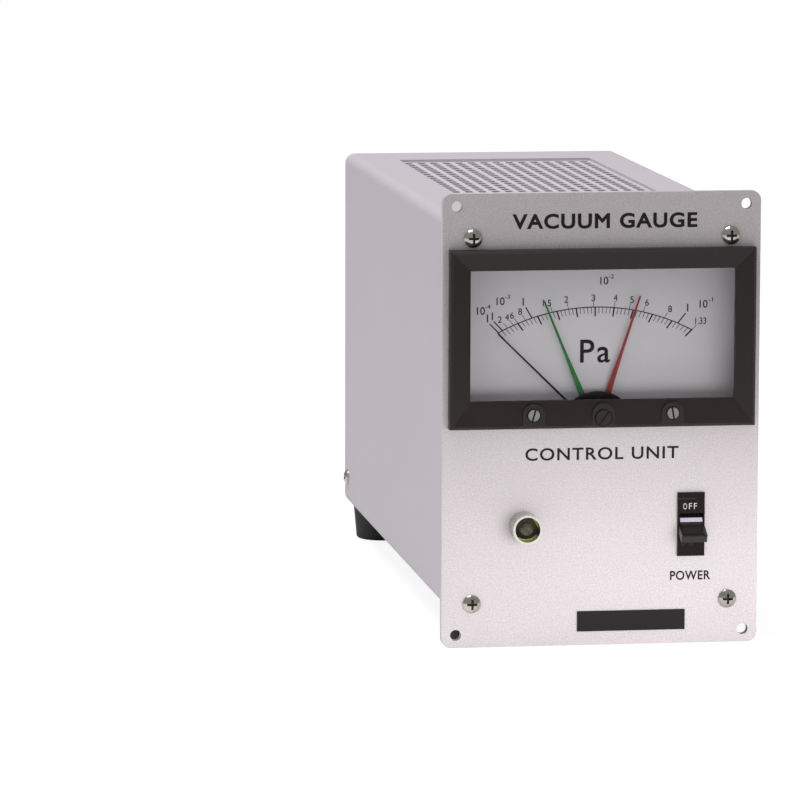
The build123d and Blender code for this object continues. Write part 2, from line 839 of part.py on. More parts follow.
def gear_face(teeth, cut, bore):
    """A gear drawn about its own axis, with its cut teeth centred on the upward direction."""
    pitch_r = gear_module * teeth / 2
    root_r = pitch_r - dedendum_ratio * gear_module
    tip_r = pitch_r + addendum_ratio * gear_module
    step = 360 / teeth
    half_pitch = tooth_thickness_ratio * pi * gear_module / 2
    half_root = half_pitch + dedendum_ratio * gear_module * sin(radians(flank_angle))
    half_tip = half_pitch - addendum_ratio * gear_module * sin(radians(flank_angle))
    sink = gear_module / 4
    foot = [(-half_root, root_r - sink), (half_root, root_r - sink)]
    tooth = outline(foot + [(half_tip, tip_r), (-half_tip, tip_r)])
    face = Circle(root_r)
    for i in range(cut):
        face += Rot(0, 0, (i - (cut - 1) / 2) * step) * tooth
    return face - Circle(bore)


def sector_face(bore, hub_r):
    """A sector gear: the toothed rim of a full gear, a hub ring and the web between them."""
    gear = gear_face(sector_teeth, sector_cut_teeth, bore)
    half_angle = 180 * sector_cut_teeth / sector_teeth
    reach = gear_module * sector_teeth
    wedge_x = reach * sin(radians(half_angle))
    wedge_z = reach * cos(radians(half_angle))
    wedge = outline([(0, 0), (wedge_x, wedge_z), (0, reach), (-wedge_x, wedge_z)])
    window_r = gear_module * (sector_teeth / 2 - dedendum_ratio) - sector_web
    toothed = gear & wedge
    window = (Circle(window_r) - Circle(hub_r + sector_web)) & wedge
    spoke = Pos(0, window_r / 2) * Rectangle(arm_w, window_r)
    return toothed - window + (spoke - Circle(hub_r)) + (Circle(hub_r + sector_web) - Circle(bore))


def sector_gear(bore, tube_r, front, sector_y, pointer_angle, side):
    """A sector on a tube: its teeth meet the pinion beside it over the whole travel of its pointer."""
    mid = side * mesh_angle + pointer_angle
    step = 360 / sector_teeth
    contact = side * mesh_angle
    gap_angle = contact + step * round((mid - contact) / step)
    if sector_cut_teeth % 2 == 1:
        gap_angle += step / 2
    face = sector_face(bore, tube_r)
    sector = slab(face, sector_y, sector_y + sector_t)
    stem = slab(Circle(tube_r) - Circle(bore), front, sector_y + sector_t)
    return turned(sector + stem, 0, pivot_z, gap_angle)


def pinion(x, sector_y):
    """A full pinion on an adjuster spindle, with one tooth pointing at the pivot."""
    face = gear_face(pinion_teeth, pinion_teeth, spindle_r + thread_gap)
    lean = 180 / pinion_teeth * ((pinion_teeth - 1) % 2)
    angle = 180 + (mesh_angle if x > 0 else -mesh_angle) + lean
    return turned(slab(face, sector_y, sector_y + sector_t), x, adjuster_z, angle)


# Adjusters

def slotted_spindle(x, z, head_r, shaft_r, back, angle):
    front = bezel_front - head_proud
    spindle = rod(x, z, front, front + adjuster_head_h, head_r)
    spindle += rod(x, z, front, back, shaft_r)
    slot = slab(Rectangle(slot_cut_w, 4 * head_r), front, front + slot_cut_depth)
    return spindle - turned(slot, x, z, angle)


def pointer_adjuster(x, angle):
    return slotted_spindle(x, adjuster_z, adjuster_head_r, spindle_r, plate_y + plate_t, angle)


def zero_screw():
    back = zero_arm_y - zero_fork_gap - zero_fork_wall
    screw = slotted_spindle(0, zero_z, zero_head_r, zero_shaft_r, back, zero_slot_angle)
    return screw + rod(0, zero_z - zero_pin_offset, back, zero_arm_y + zero_arm_t, zero_pin_r)


def zero_arm():
    slot_half = zero_pin_r + zero_fork_gap
    top = zero_z - zero_pin_offset + zero_fork_past
    half_w = slot_half + zero_fork_wall
    face = Pos(0, pivot_z) * Circle(zero_ring_r)
    face += Pos(0, (pivot_z + top) / 2) * Rectangle(2 * half_w, top - pivot_z)
    slot_low = pivot_z + zero_ring_r - zero_fork_wall
    face -= Pos(0, (slot_low + top) / 2) * Rectangle(2 * slot_half, top - slot_low)
    face -= Pos(0, pivot_z) * Circle(zero_boss_r + running_gap)
    return slab(face, zero_arm_y, zero_arm_y + zero_arm_t)


# Movement

def plate_places():
    return [(sx * pillar_x, pivot_z + sz * pillar_rise / 2) for sx in (-1, 1) for sz in (-1, 1)]


def movement_plate():
    half_w = pillar_x + 2 * pillar_r
    low = pivot_z - yoke_r - plate_margin
    high = pivot_z + yoke_r + plate_margin
    plate = box(-half_w, half_w, plate_y, plate_y + plate_t, low, high)
    plate += rod(0, pivot_z, needle_y + needle_t + thread_gap, plate_y, sleeve_r)
    plate -= rod(0, pivot_z, 0, plate_y + plate_t, sleeve_bore_r)
    for x in (-adjuster_x, adjuster_x):
        plate -= rod(x, adjuster_z, plate_y, plate_y + plate_t, spindle_r + running_gap)
    return plate


def meter_pillars():
    """Four posts from the body's back wall to the dial and four to the movement plate."""
    x = body_inner_half_w - dial_gap - pillar_r
    rows = (dial_high_z - 2 * pillar_r, window_low + 2 * pillar_r)
    dial_posts = [(sx * x, z) for sx in (-1, 1) for z in rows]
    posts = [rod(px, pz, dial_y + dial_t, body_back_y, pillar_r) for px, pz in dial_posts]
    posts += [rod(px, pz, plate_y + plate_t, body_back_y, pillar_r) for px, pz in plate_places()]
    return join(posts)


def yoke_ring():
    return tube(0, pivot_z, yoke_y, yoke_y + yoke_l, yoke_r, yoke_bore_r)


def core_magnet():
    return rod(0, pivot_z, core_y0, core_y0 + core_l, core_r)


def core_spacers():
    """Brass saddles above and below the core, where the coil never sweeps."""
    start = core_y0 + (core_l - spacer_l) / 2
    strip = slab(Pos(0, pivot_z) * Rectangle(spacer_w, 2 * yoke_r), start, start + spacer_l)
    return strip & tube(0, pivot_z, yoke_y, yoke_y + yoke_l, yoke_bore_r, core_r)


def moving_coil():
    """A rectangular coil round the core on its staff; it lies level when the needle points straight up."""
    reach = core_r + coil_gap + coil_t
    inner = core_r + coil_gap
    frame = box(-reach, reach, coil_front, coil_back, -coil_w / 2, coil_w / 2)
    frame -= box(-inner, inner, coil_front + coil_end_t, coil_back - coil_end_t, -coil_w, coil_w)
    frame += rod(0, 0, cover_y + running_gap, coil_front, staff_r)
    frame += rod(0, 0, coil_back, bridge_y + bridge_t, staff_r)
    return turned(frame, 0, pivot_z, needle_angle)


def rear_bridge():
    """A bar across the back of the yoke ring, with the staff's rear bearing."""
    foot_y = bridge_y - bridge_standoff
    bar = slab(Pos(0, pivot_z) * Rectangle(2 * yoke_r, bridge_w), foot_y, bridge_y + bridge_t)
    span = 2 * (yoke_bore_r + bridge_foot_inset)
    bar -= slab(Pos(0, pivot_z) * Rectangle(span, 2 * bridge_w), foot_y, bridge_y)
    bar = bar & rod(0, pivot_z, bridge_y - bridge_standoff, bridge_y + bridge_t, yoke_r)
    return bar - rod(0, pivot_z, bridge_y, bridge_y + bridge_t, staff_r + running_gap)


# Pilot lamp

def lamp_holder():
    front = front_y - lamp_proud
    ring = rod(lamp_x, lamp_z, front, front_y, lamp_r)
    ring += rod(lamp_x, lamp_z, front_y, lamp_barrel_l, lamp_barrel_r)
    ring -= rod(lamp_x, lamp_z, front, front_y - lamp_wall, lamp_r - lamp_wall)
    return ring - rod(lamp_x, lamp_z, front_y - lamp_wall, lamp_barrel_l, lamp_barrel_bore_r)


def lamp_lens():
    r = lamp_r - lamp_wall - running_gap
    top = front_y - lamp_proud + lens_recess + lens_dome
    body = rod(lamp_x, lamp_z, top, top + lens_l, r)
    cap = Pos(lamp_x, top, lamp_z) * Rot(90, 0, 0) * dome(r, lens_dome)
    hollow = rod(lamp_x, lamp_z, top + lens_dome, top + lens_l, r - lamp_wall)
    return body + cap - hollow


def lamp_bulb():
    front = front_y - lamp_proud + lens_recess + lens_dome + lens_dome + lamp_wall
    bulb = rod(lamp_x, lamp_z, front + bulb_r, front + bulb_l, bulb_r)
    bulb += Pos(lamp_x, front + bulb_r, lamp_z) * Sphere(bulb_r)
    collar_r = lamp_barrel_bore_r - thread_gap
    return bulb + rod(lamp_x, lamp_z, front_y + lamp_wall, front_y + 2 * lamp_wall, collar_r)


def lamp_nut():
    nut = hexagon(lamp_x, lamp_z, 0, lamp_nut_h, lamp_nut_af)
    return nut - rod(lamp_x, lamp_z, 0, lamp_nut_h, lamp_barrel_r + thread_gap)


# Power switch

def switch_housing():
    face = Pos(switch_x, switch_z) * Rectangle(switch_face_w, switch_face_h)
    body = Pos(switch_x, switch_z) * Rectangle(switch_body_w, switch_body_h)
    housing = slab(face, switch_face_y, front_y) + slab(body, front_y, front_y + switch_body_depth)
    cavity_w = drum_w + 2 * drum_gap
    cavity = Pos(switch_x, switch_z) * Rectangle(cavity_w, 2 * (drum_r + drum_end_gap))
    housing -= slab(cavity, switch_face_y, lever_y + drum_r + drum_gap)
    pin_l = cavity_w + 2 * lever_pin_bite
    return housing - Pos(switch_x, lever_y, switch_z) * Rot(0, 90, 0) * Cylinder(lever_pin_r, pin_l)


def switch_pin():
    pin_l = drum_w + 2 * drum_gap + 2 * lever_pin_bite
    return Pos(switch_x, lever_y, switch_z) * Rot(0, 90, 0) * Cylinder(lever_pin_r, pin_l)


def power_lever():
    """A drum with a scooped paddle on a neck, drawn level and then tilted down to its lower stop."""
    lean = radians(lever_half_angle)
    half_t = paddle_t / 2
    face_reach = lever_y - switch_face_y + paddle_face_gap
    root = (face_reach + half_t * sin(lean)) / cos(lean)
    neck = box(-drum_w / 2, drum_w / 2, -root, 0, -half_t, half_t)
    paddle = box(-paddle_w / 2, paddle_w / 2, -paddle_l, -root, -half_t, half_t)
    paddle = fillet(paddle.faces().sort_by(Axis.Y)[0].edges(), paddle_edge_r)
    scoop_r = (scoop_l ** 2 / 4 + scoop_depth ** 2) / (2 * scoop_depth)
    scoop = Rot(0, 90, 0) * Cylinder(scoop_r, scoop_w)
    paddle -= Pos(0, scoop_rim + scoop_l / 2 - paddle_l, half_t - scoop_depth + scoop_r) * scoop
    drum = Rot(0, 90, 0) * Cylinder(drum_r, drum_w)
    lever = drum + Rot(lever_half_angle, 0, 0) * (neck + paddle)
    bore = Rot(0, 90, 0) * Cylinder(lever_pin_r + running_gap, 2 * drum_w)
    return Pos(switch_x, lever_y, switch_z) * (lever - bore)


def switch_terminals():
    back = front_y + switch_body_depth
    tabs = []
    for z in (-tab_pitch / 2, tab_pitch / 2):
        tabs.append(box(switch_x - tab_w / 2, switch_x + tab_w / 2, back, back + tab_l,
                        switch_z + z - tab_t / 2, switch_z + z + tab_t / 2))
    return join(tabs)


def label_plate():
    return slab(Pos(label_x, label_z) * Rectangle(label_w, label_h), front_y - label_t, front_y)


# Inside the case

def board_places():
    x = board_w / 2 - board_hole_inset
    y0 = board_y + board_hole_inset
    y1 = board_y + board_l - board_hole_inset
    return [(sx * x, y) for sx in (-1, 1) for y in (y0, y1)]


def main_board():
    board = box(-board_w / 2, board_w / 2, board_y, board_y + board_l, board_z, board_z + board_t)
    for x, y in board_places():
        board -= upright(x, y, board_z, board_z + board_t, screw_r + screw_clearance)
    return board


def board_standoffs():
    post = upright(0, 0, chassis_z + chassis_t, board_z, standoff_r)
    post -= upright(0, 0, chassis_z + chassis_t, board_z, screw_r + thread_gap)
    return join([Pos(x, y, 0) * post for x, y in board_places()])


def chassis_screws():
    """The screws that hold the board and the transformer down on the chassis plate."""
    def screw(x, y, seat):
        return upright(x, y, chassis_z, seat, screw_r) + upright(x, y, seat, seat + side_head_h, side_head_r)
    screws = [screw(x, y, board_z + board_t) for x, y in board_places()]
    seat = chassis_z + chassis_t + core_foot_t
    return join(screws + [screw(core_x + side * core_screw_x(), core_y, seat) for side in (-1, 1)])


def on_board(x, y, w, length, h):
    top = board_z + board_t
    return box(x - w / 2, x + w / 2, y - length / 2, y + length / 2, top, top + h)


def high_voltage_module():
    y = board_y + board_l - board_hole_inset - module_l / 2 - 2 * standoff_r
    x = board_w / 2 - module_w / 2 - module_edge_gap
    return on_board(x, y, module_w, module_l, module_h)


def relays():
    x = relay_edge_gap + relay_w / 2 - board_w / 2
    first = board_y + 2 * board_hole_inset + relay_l / 2
    rows = [first + i * relay_pitch for i in range(relay_count)]
    return join([on_board(x, y, relay_w, relay_l, relay_h) for y in rows])


def capacitors():
    top = board_z + board_t
    first = board_y + 2 * board_hole_inset + capacitor_r
    rows = [first + i * capacitor_pitch for i in range(capacitor_count)]
    return join([upright(0, y, top, top + capacitor_h, capacitor_r) for y in rows])


def core_screw_x():
    return core_w / 2 + core_foot_w / 2


def transformer_core():
    """A stack of plates with two windows, an outer limb on each side and a middle limb twice as wide."""
    low = chassis_z + chassis_t
    front = core_y - core_stack / 2
    back = core_y + core_stack / 2
    core = box(core_x - core_w / 2, core_x + core_w / 2, front, back, low, low + core_h)
    for side in (-1, 1):
        x0, x1 = sorted((core_x + side * core_limb, core_x + side * (core_w / 2 - core_limb)))
        core -= box(x0, x1, front, back, low + core_limb, low + core_h - core_limb)
        x0, x1 = sorted((core_x + side * core_w / 2, core_x + side * (core_w / 2 + core_foot_w)))
        core += box(x0, x1, front, back, low, low + core_foot_t)
        hole_x = core_x + side * core_screw_x()
        core -= upright(hole_x, core_y, low, low + core_foot_t, screw_r + screw_clearance)
    return core


def transformer_winding():
    """The wound bobbin round the middle limb, in both windows."""
    low = chassis_z + chassis_t
    half_w = core_w / 2 - core_limb - winding_gap
    z0 = low + core_limb + winding_gap
    z1 = low + core_h - core_limb - winding_gap
    block = box(core_x - half_w, core_x + half_w, core_y - winding_d / 2, core_y + winding_d / 2, z0, z1)
    block = fillet(block.edges().filter_by(Axis.Z), winding_corner_r)
    inner_x = core_limb + winding_gap / 2
    inner_y = (core_stack + winding_gap) / 2
    return block - box(core_x - inner_x, core_x + inner_x, core_y - inner_y, core_y + inner_y, z0, z1)


# Rear fittings

def power_inlet():
    """A recessed three-blade inlet. The lead that plugs in is not part of the unit."""
    flange = Pos(inlet_x, inlet_z) * RectangleRounded(inlet_flange_w, inlet_flange_h, inlet_flange_corner)
    can = Pos(inlet_x, inlet_z) * Rectangle(inlet_cavity_w + 2 * inlet_wall, inlet_cavity_h + 2 * inlet_wall)
    outer_y = rear_back_y + inlet_flange_t
    inlet = slab(flange, rear_back_y, outer_y)
    inlet += slab(can, outer_y - inlet_depth - inlet_wall, rear_back_y)
    mouth = Pos(inlet_x, inlet_z) * RectangleRounded(inlet_cavity_w, inlet_cavity_h, inlet_mouth_corner)
    inlet -= slab(mouth, outer_y - inlet_depth, outer_y)
    floor = outer_y - inlet_depth
    for x, z in blade_places():
        inlet -= slab(Pos(x, z) * Rectangle(blade_t, blade_w), floor - inlet_wall, floor)
    for side in (-1, 1):
        z = inlet_z + side * inlet_screw_pitch / 2
        inlet -= rod(inlet_x, z, rear_back_y, outer_y, screw_r + screw_clearance)
    return inlet


def blade_places():
    low = inlet_z - blade_rise / 2
    high = inlet_z + blade_rise
    return [(inlet_x - blade_spread / 2, low), (inlet_x + blade_spread / 2, low), (inlet_x, high)]


def inlet_blades():
    tip = rear_back_y + inlet_flange_t - inlet_depth + blade_l
    start = rear_back_y + inlet_flange_t - inlet_depth - inlet_wall - tab_l
    return join([slab(Pos(x, z) * Rectangle(blade_t, blade_w), start, tip) for x, z in blade_places()])


def rear_screws():
    """Pan-head screws: two hold the inlet, two the terminal block, and the rest clamp wires in the block."""
    screw = Rot(-90, 0, 0) * pan_screw(screw_r, inlet_flange_t + rear_t, side_head_r, side_head_h)
    seat = rear_back_y + inlet_flange_t
    screws = [Pos(inlet_x, seat, inlet_z + sz * inlet_screw_pitch / 2) * screw for sz in (-1, 1)]
    screws += [Pos(block_x, seat, block_z + sz * block_screw_span() / 2) * screw for sz in (-1, 1)]
    step_y = rear_back_y + block_depth / 2
    wire_screw = Rot(-90, 0, 0) * pan_screw(screw_r, block_depth / 2 - thread_gap, way_head_r, side_head_h)
    return join(screws + [Pos(block_x, step_y, z) * wire_screw for z in way_places()])


def fuse_holder():
    body = rod(fuse_x, fuse_z, rear_back_y - fuse_body_l, rear_back_y, fuse_body_r)
    return body + rod(fuse_x, fuse_z, rear_back_y, rear_back_y + fuse_flange_t, fuse_flange_r)


def fuse_cap():
    start = rear_back_y + fuse_flange_t
    end = start + fuse_cap_h
    slot = Pos(fuse_x, fuse_z) * Rectangle(2 * fuse_cap_r, fuse_slot_w)
    return rod(fuse_x, fuse_z, start, end, fuse_cap_r) - slab(slot, end - fuse_slot_depth, end)


def gauge_socket():
    """The round shell that the gauge head's lead locks on to."""
    start = rear_back_y - socket_barrel_l
    flange_y = rear_back_y + socket_flange_t
    shell = rod(socket_x, socket_z, start, flange_y + socket_l, socket_r)
    shell += rod(socket_x, socket_z, rear_back_y, flange_y, socket_flange_r)
    return shell - rod(socket_x, socket_z, start, flange_y + socket_l, socket_r - socket_wall)


def socket_insulator():
    start = rear_back_y - socket_barrel_l
    flange_y = rear_back_y + socket_flange_t
    base = rod(socket_x, socket_z, start, flange_y, socket_r - socket_wall - thread_gap)
    nose = rod(socket_x, socket_z, start, flange_y + insulator_nose_l, insulator_r)
    return base + nose - rod(socket_x, socket_z, rear_back_y, flange_y + insulator_nose_l, insulator_bore_r)


def block_screw_span():
    return block_h - block_step


def block_way():
    return (block_screw_span() - 2 * block_step) / block_ways


def way_places():
    return [block_z + (i - (block_ways - 1) / 2) * block_way() for i in range(block_ways)]


def terminal_block():
    base_y = rear_back_y + inlet_flange_t
    step_y = rear_back_y + block_depth / 2
    span = block_ways * block_way()
    block = slab(Pos(block_x, block_z) * Rectangle(block_w, block_h), rear_back_y, base_y)
    block += slab(Pos(block_x, block_z) * Rectangle(block_w, span), rear_back_y, step_y)
    for i in range(block_ways + 1):
        barrier = Pos(block_x, block_z - span / 2 + i * block_way()) * Rectangle(block_w, block_barrier)
        block += slab(barrier, rear_back_y, rear_back_y + block_depth)
    for z in way_places():
        block -= rod(block_x, z, rear_back_y, step_y, screw_r + thread_gap)
    for sz in (-1, 1):
        z = block_z + sz * block_screw_span() / 2
        block -= rod(block_x, z, rear_back_y, base_y, screw_r + screw_clearance)
    return block


def ground_terminal():
    """A stud through the rear panel with a nut inside and a round knob outside."""
    inner = rear_front_y - ground_nut_h
    stud = rod(ground_x, ground_z, inner, rear_back_y + ground_l, ground_r)
    stud += hexagon(ground_x, ground_z, inner, rear_front_y, ground_nut_af)
    return stud + rod(ground_x, ground_z, rear_back_y, rear_back_y + ground_knob_h, ground_knob_r)


# Every sub-part by name

parts["front_panel"] = front_panel()
parts["panel_screws"] = panel_screws()
parts["case_sleeve"] = case_sleeve()
parts["vent_grille"] = vent_grille()
parts["top_rail"] = top_rail()
parts["bottom_rail"] = bottom_rail()
parts["chassis_plate"] = chassis_plate()
parts["rear_panel"] = rear_panel()
parts["side_screws"] = side_screws()
parts["rubber_feet"] = rubber_feet()
parts["foot_screws"] = foot_screws()
parts["foot_nuts"] = foot_nuts()
parts["meter_bezel"] = meter_bezel()
parts["meter_window"] = meter_window()
parts["meter_body"] = meter_body()
parts["meter_screws"] = meter_screws()
parts["meter_terminals"] = meter_terminals()
parts["dial_plate"] = dial_plate()
parts["hub_cover"] = hub_cover()
parts["needle"] = needle()
parts["green_set_pointer"] = set_pointer(green_y, green_tube_r, green_angle)
parts["red_set_pointer"] = set_pointer(red_y, red_tube_r, red_angle)
parts["green_gear"] = sector_gear(green_bore_r, green_tube_r, green_y, green_sector_y, green_angle, -1)
parts["red_gear"] = sector_gear(red_bore_r, red_tube_r, red_y, red_sector_y, red_angle, 1)
parts["left_pinion"] = pinion(-adjuster_x, green_sector_y)
parts["right_pinion"] = pinion(adjuster_x, red_sector_y)
parts["left_adjuster"] = pointer_adjuster(-adjuster_x, left_slot_angle)
parts["right_adjuster"] = pointer_adjuster(adjuster_x, right_slot_angle)
parts["zero_screw"] = zero_screw()
parts["zero_arm"] = zero_arm()
parts["movement_plate"] = movement_plate()
parts["meter_pillars"] = meter_pillars()
parts["yoke_ring"] = yoke_ring()
parts["core_magnet"] = core_magnet()
parts["core_spacers"] = join([core_spacers()])
parts["moving_coil"] = moving_coil()
parts["rear_bridge"] = rear_bridge()
parts["lamp_holder"] = lamp_holder()
parts["lamp_lens"] = lamp_lens()
parts["lamp_bulb"] = lamp_bulb()
parts["lamp_nut"] = lamp_nut()
parts["switch_housing"] = switch_housing()
parts["switch_pin"] = switch_pin()
parts["power_lever"] = power_lever()
parts["switch_terminals"] = switch_terminals()
parts["label_plate"] = label_plate()
parts["main_board"] = main_board()
parts["board_standoffs"] = board_standoffs()
parts["chassis_screws"] = chassis_screws()
parts["board_components"] = join([high_voltage_module(), relays(), capacitors()])
parts["transformer_core"] = transformer_core()
parts["transformer_winding"] = transformer_winding()
parts["power_inlet"] = power_inlet()
parts["inlet_blades"] = inlet_blades()
parts["rear_screws"] = rear_screws()
parts["fuse_holder"] = join([fuse_holder(), fuse_cap()])
parts["gauge_socket"] = gauge_socket()
parts["socket_insulator"] = socket_insulator()
parts["terminal_block"] = terminal_block()
parts["ground_terminal"] = ground_terminal()

os.makedirs("parts", exist_ok=True)
for name, shape in parts.items():
    export_step(shape, f"parts/{name}.step")
print(len(parts), "sub-parts")
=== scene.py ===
import json
from math import atan2, cos, pi, radians, sin, sqrt

import bpy
from mathutils import Matrix, Vector


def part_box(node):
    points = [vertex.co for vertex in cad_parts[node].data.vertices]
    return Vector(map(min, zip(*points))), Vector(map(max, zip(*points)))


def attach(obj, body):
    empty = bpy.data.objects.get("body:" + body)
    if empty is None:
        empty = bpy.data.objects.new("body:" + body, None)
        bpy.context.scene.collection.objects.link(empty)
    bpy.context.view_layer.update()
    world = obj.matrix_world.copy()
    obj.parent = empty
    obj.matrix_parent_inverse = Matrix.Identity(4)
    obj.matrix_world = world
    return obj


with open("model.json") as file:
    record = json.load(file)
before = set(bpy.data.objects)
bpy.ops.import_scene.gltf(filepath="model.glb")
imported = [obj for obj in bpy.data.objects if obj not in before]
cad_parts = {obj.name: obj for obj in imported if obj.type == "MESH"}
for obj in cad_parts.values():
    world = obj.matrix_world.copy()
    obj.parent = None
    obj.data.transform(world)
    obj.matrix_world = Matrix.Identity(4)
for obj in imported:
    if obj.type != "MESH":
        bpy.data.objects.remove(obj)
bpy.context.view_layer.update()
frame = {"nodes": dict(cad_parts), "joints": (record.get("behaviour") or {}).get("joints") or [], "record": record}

bl_info = {
    "name": "Vacuum Gauge Control Unit",
    "version": (1, 0, 0),
    "blender": (4, 2, 0),
    "location": "View3D > Sidebar > Vacuum Gauge",
    "description": "Prints, finishes and stage for a panel-mount vacuum gauge control unit",
    "category": "Object",
}

MM = 0.001
panel_low, panel_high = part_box("front_panel")
panel_face = panel_low[1]
dial_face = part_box("dial_plate")[0][1]
housing_low, housing_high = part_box("switch_housing")
housing_face = housing_low[1]
housing_mid = Vector(((housing_low[0] + housing_high[0]) / 2, housing_face, (housing_low[2] + housing_high[2]) / 2))
joint_places = {joint["name"]: joint["pos_m"] for joint in frame["joints"]}
pivot = Vector(joint_places["needle_turn"])
rocker = Vector(joint_places["power_lever_rock"])


# Shader building

class Wire:
    """One output of a shader node, which takes part in Python sums."""

    def __init__(self, bench, socket):
        self.bench = bench
        self.socket = socket

    def sum(self, operation, first, second):
        return self.bench.add("ShaderNodeMath", {"operation": operation}, {0: first, 1: second})

    def __add__(self, other):
        return self.sum("ADD", self, other)

    __radd__ = __add__

    def __sub__(self, other):
        return self.sum("SUBTRACT", self, other)

    def __rsub__(self, other):
        return self.sum("SUBTRACT", other, self)

    def __mul__(self, other):
        return self.sum("MULTIPLY", self, other)

    __rmul__ = __mul__

    def __truediv__(self, other):
        return self.sum("DIVIDE", self, other)

    def __pow__(self, other):
        return self.sum("POWER", self, other)

    def __abs__(self):
        return self.sum("ABSOLUTE", self, 0.0)


class Bench:
    """The node tree of one material or world, emptied and ready for new nodes."""

    def __init__(self, owner):
        owner.use_nodes = True
        self.tree = owner.node_tree
        self.tree.nodes.clear()

    def add(self, kind, settings=None, sockets=None, output=0):
        node = self.tree.nodes.new(kind)
        for key, value in (settings or {}).items():
            if key == "stops":
                while len(node.color_ramp.elements) < len(value):
                    node.color_ramp.elements.new(0.5)
                for element, (place, shade) in zip(node.color_ramp.elements, value):
                    element.position = place
                    element.color = (shade, shade, shade, 1)
            else:
                setattr(node, key, value)
        for key, value in (sockets or {}).items():
            if isinstance(value, Wire):
                self.tree.links.new(value.socket, node.inputs[key])
            else:
                node.inputs[key].default_value = value
        return Wire(self, node.outputs[output]) if node.outputs else None

    def place(self, stretch=(1, 1, 1), turn=(0, 0, 0), centre=(0, 0, 0)):
        """Object coordinates, centred, turned and stretched for a pattern."""
        spot = self.add("ShaderNodeTexCoord", output=3)
        return self.add("ShaderNodeMapping", {"vector_type": "TEXTURE"},
                        {"Vector": spot, "Location": centre, "Rotation": turn,
                         "Scale": tuple(1 / s for s in stretch)})

    def noise(self, spot, scale, detail=2.0, roughness=0.5):
        return self.add("ShaderNodeTexNoise", None,
                        {"Vector": spot, "Scale": scale, "Detail": detail, "Roughness": roughness})

    def ramp(self, factor, *stops):
        return self.add("ShaderNodeValToRGB", {"stops": stops}, {"Fac": factor})

    def blend(self, factor, first, second):
        """A colour between two colours."""
        return self.add("ShaderNodeMix", {"data_type": "RGBA"},
                        {0: factor, 6: tuple(first) + (1,), 7: tuple(second) + (1,)}, output=2)

    def mix(self, factor, first, second):
        """A colour between two colours that come from other nodes."""
        return self.add("ShaderNodeMix", {"data_type": "RGBA"}, {0: factor, 6: first, 7: second}, output=2)

    def share(self, low, high):
        """How far along a box a point lies, from left to right and from bottom to top."""
        spot = self.add("ShaderNodeTexCoord", output=3)
        across = self.add("ShaderNodeSeparateXYZ", None, {"Vector": spot}, output=0)
        up = self.add("ShaderNodeSeparateXYZ", None, {"Vector": spot}, output=2)
        return (across - low[0]) / (high[0] - low[0]), (up - low[2]) / (high[2] - low[2])

    def behind(self, face, depth):
        """How far behind a face a point lies, as a share of a depth."""
        spot = self.add("ShaderNodeTexCoord", output=3)
        back = self.add("ShaderNodeSeparateXYZ", None, {"Vector": spot}, output=1)
        return (back - face) / depth

    def bump(self, height, distance, strength=1.0):
        return self.add("ShaderNodeBump", None,
                        {"Height": height, "Distance": distance, "Strength": strength})

    def surface(self, **sockets):
        """The finished surface, given by the sockets of the main shader."""
        named = {key.replace("_", " "): value for key, value in sockets.items()}
        shader = self.add("ShaderNodeBsdfPrincipled", None, named)
        self.add("ShaderNodeOutputMaterial", None, {"Surface": shader})


def material(name):
    made = bpy.data.materials.new(name)
    return made, Bench(made)


def shade(colour, amount):
    """A colour made lighter or darker by a share of itself."""
    return tuple(min(1.0, c * (1 + amount)) for c in colour)


def brushed_metal(name, colour, along, roughness, metallic, streak):
    """Metal with fine hairlines along one axis, uneven in shade and gloss."""
    made, bench = material(name)
    stretch = {"x": (60, 6000, 6000), "y": (6000, 60, 6000), "z": (6000, 6000, 60)}[along]
    lines = bench.noise(bench.place(stretch), 1.0, 3.0, 0.6)
    clouds = bench.noise(bench.place(), 45.0, 2.0)
    colours = bench.blend(lines * 0.6 + clouds * 0.4, shade(colour, -streak), shade(colour, streak))
    bench.surface(Base_Color=colours, Metallic=metallic, Roughness=lines * 0.14 + (roughness - 0.07),
                  Normal=bench.bump(lines, 0.000012, 0.35))
    return made


def blasted_metal(name, colour, roughness, metallic):
    """Anodised metal with a fine speckled grain and faint hairlines along X."""
    made, bench = material(name)
    grain = bench.noise(bench.place(), 2300.0, 1.0, 0.5)
    speck = bench.ramp(grain, (0.32, 0.0), (0.68, 1.0))
    lines = bench.noise(bench.place((40, 3000, 3000)), 1.0, 3.0, 0.6)
    clouds = bench.noise(bench.place(), 40.0, 2.0)
    colours = bench.blend(speck * 0.7 + lines * 0.2 + clouds * 0.1, shade(colour, -0.19), shade(colour, 0.19))
    bench.surface(Base_Color=colours, Metallic=metallic, Roughness=speck * 0.16 + (roughness - 0.08),
                  Normal=bench.bump(grain, 0.00001, 0.3))
    return made


def sheet_paint(name, colour, roughness, peel):
    """Sprayed paint on sheet metal: a faint orange peel and slow changes of shade."""
    made, bench = material(name)
    skin = bench.noise(bench.place(), 1400.0, 2.0, 0.55)
    clouds = bench.noise(bench.place(), 18.0, 3.0)
    dust = bench.ramp(bench.noise(bench.place(), 5200.0, 1.0), (0.62, 0.0), (0.74, 1.0))
    colours = bench.blend(clouds * 0.8 + dust * 0.35, shade(colour, -0.022), shade(colour, 0.03))
    bench.surface(Base_Color=colours, Roughness=skin * 0.1 + (roughness - 0.05), Metallic=0.0,
                  Normal=bench.bump(skin, peel, 0.3))
    return made


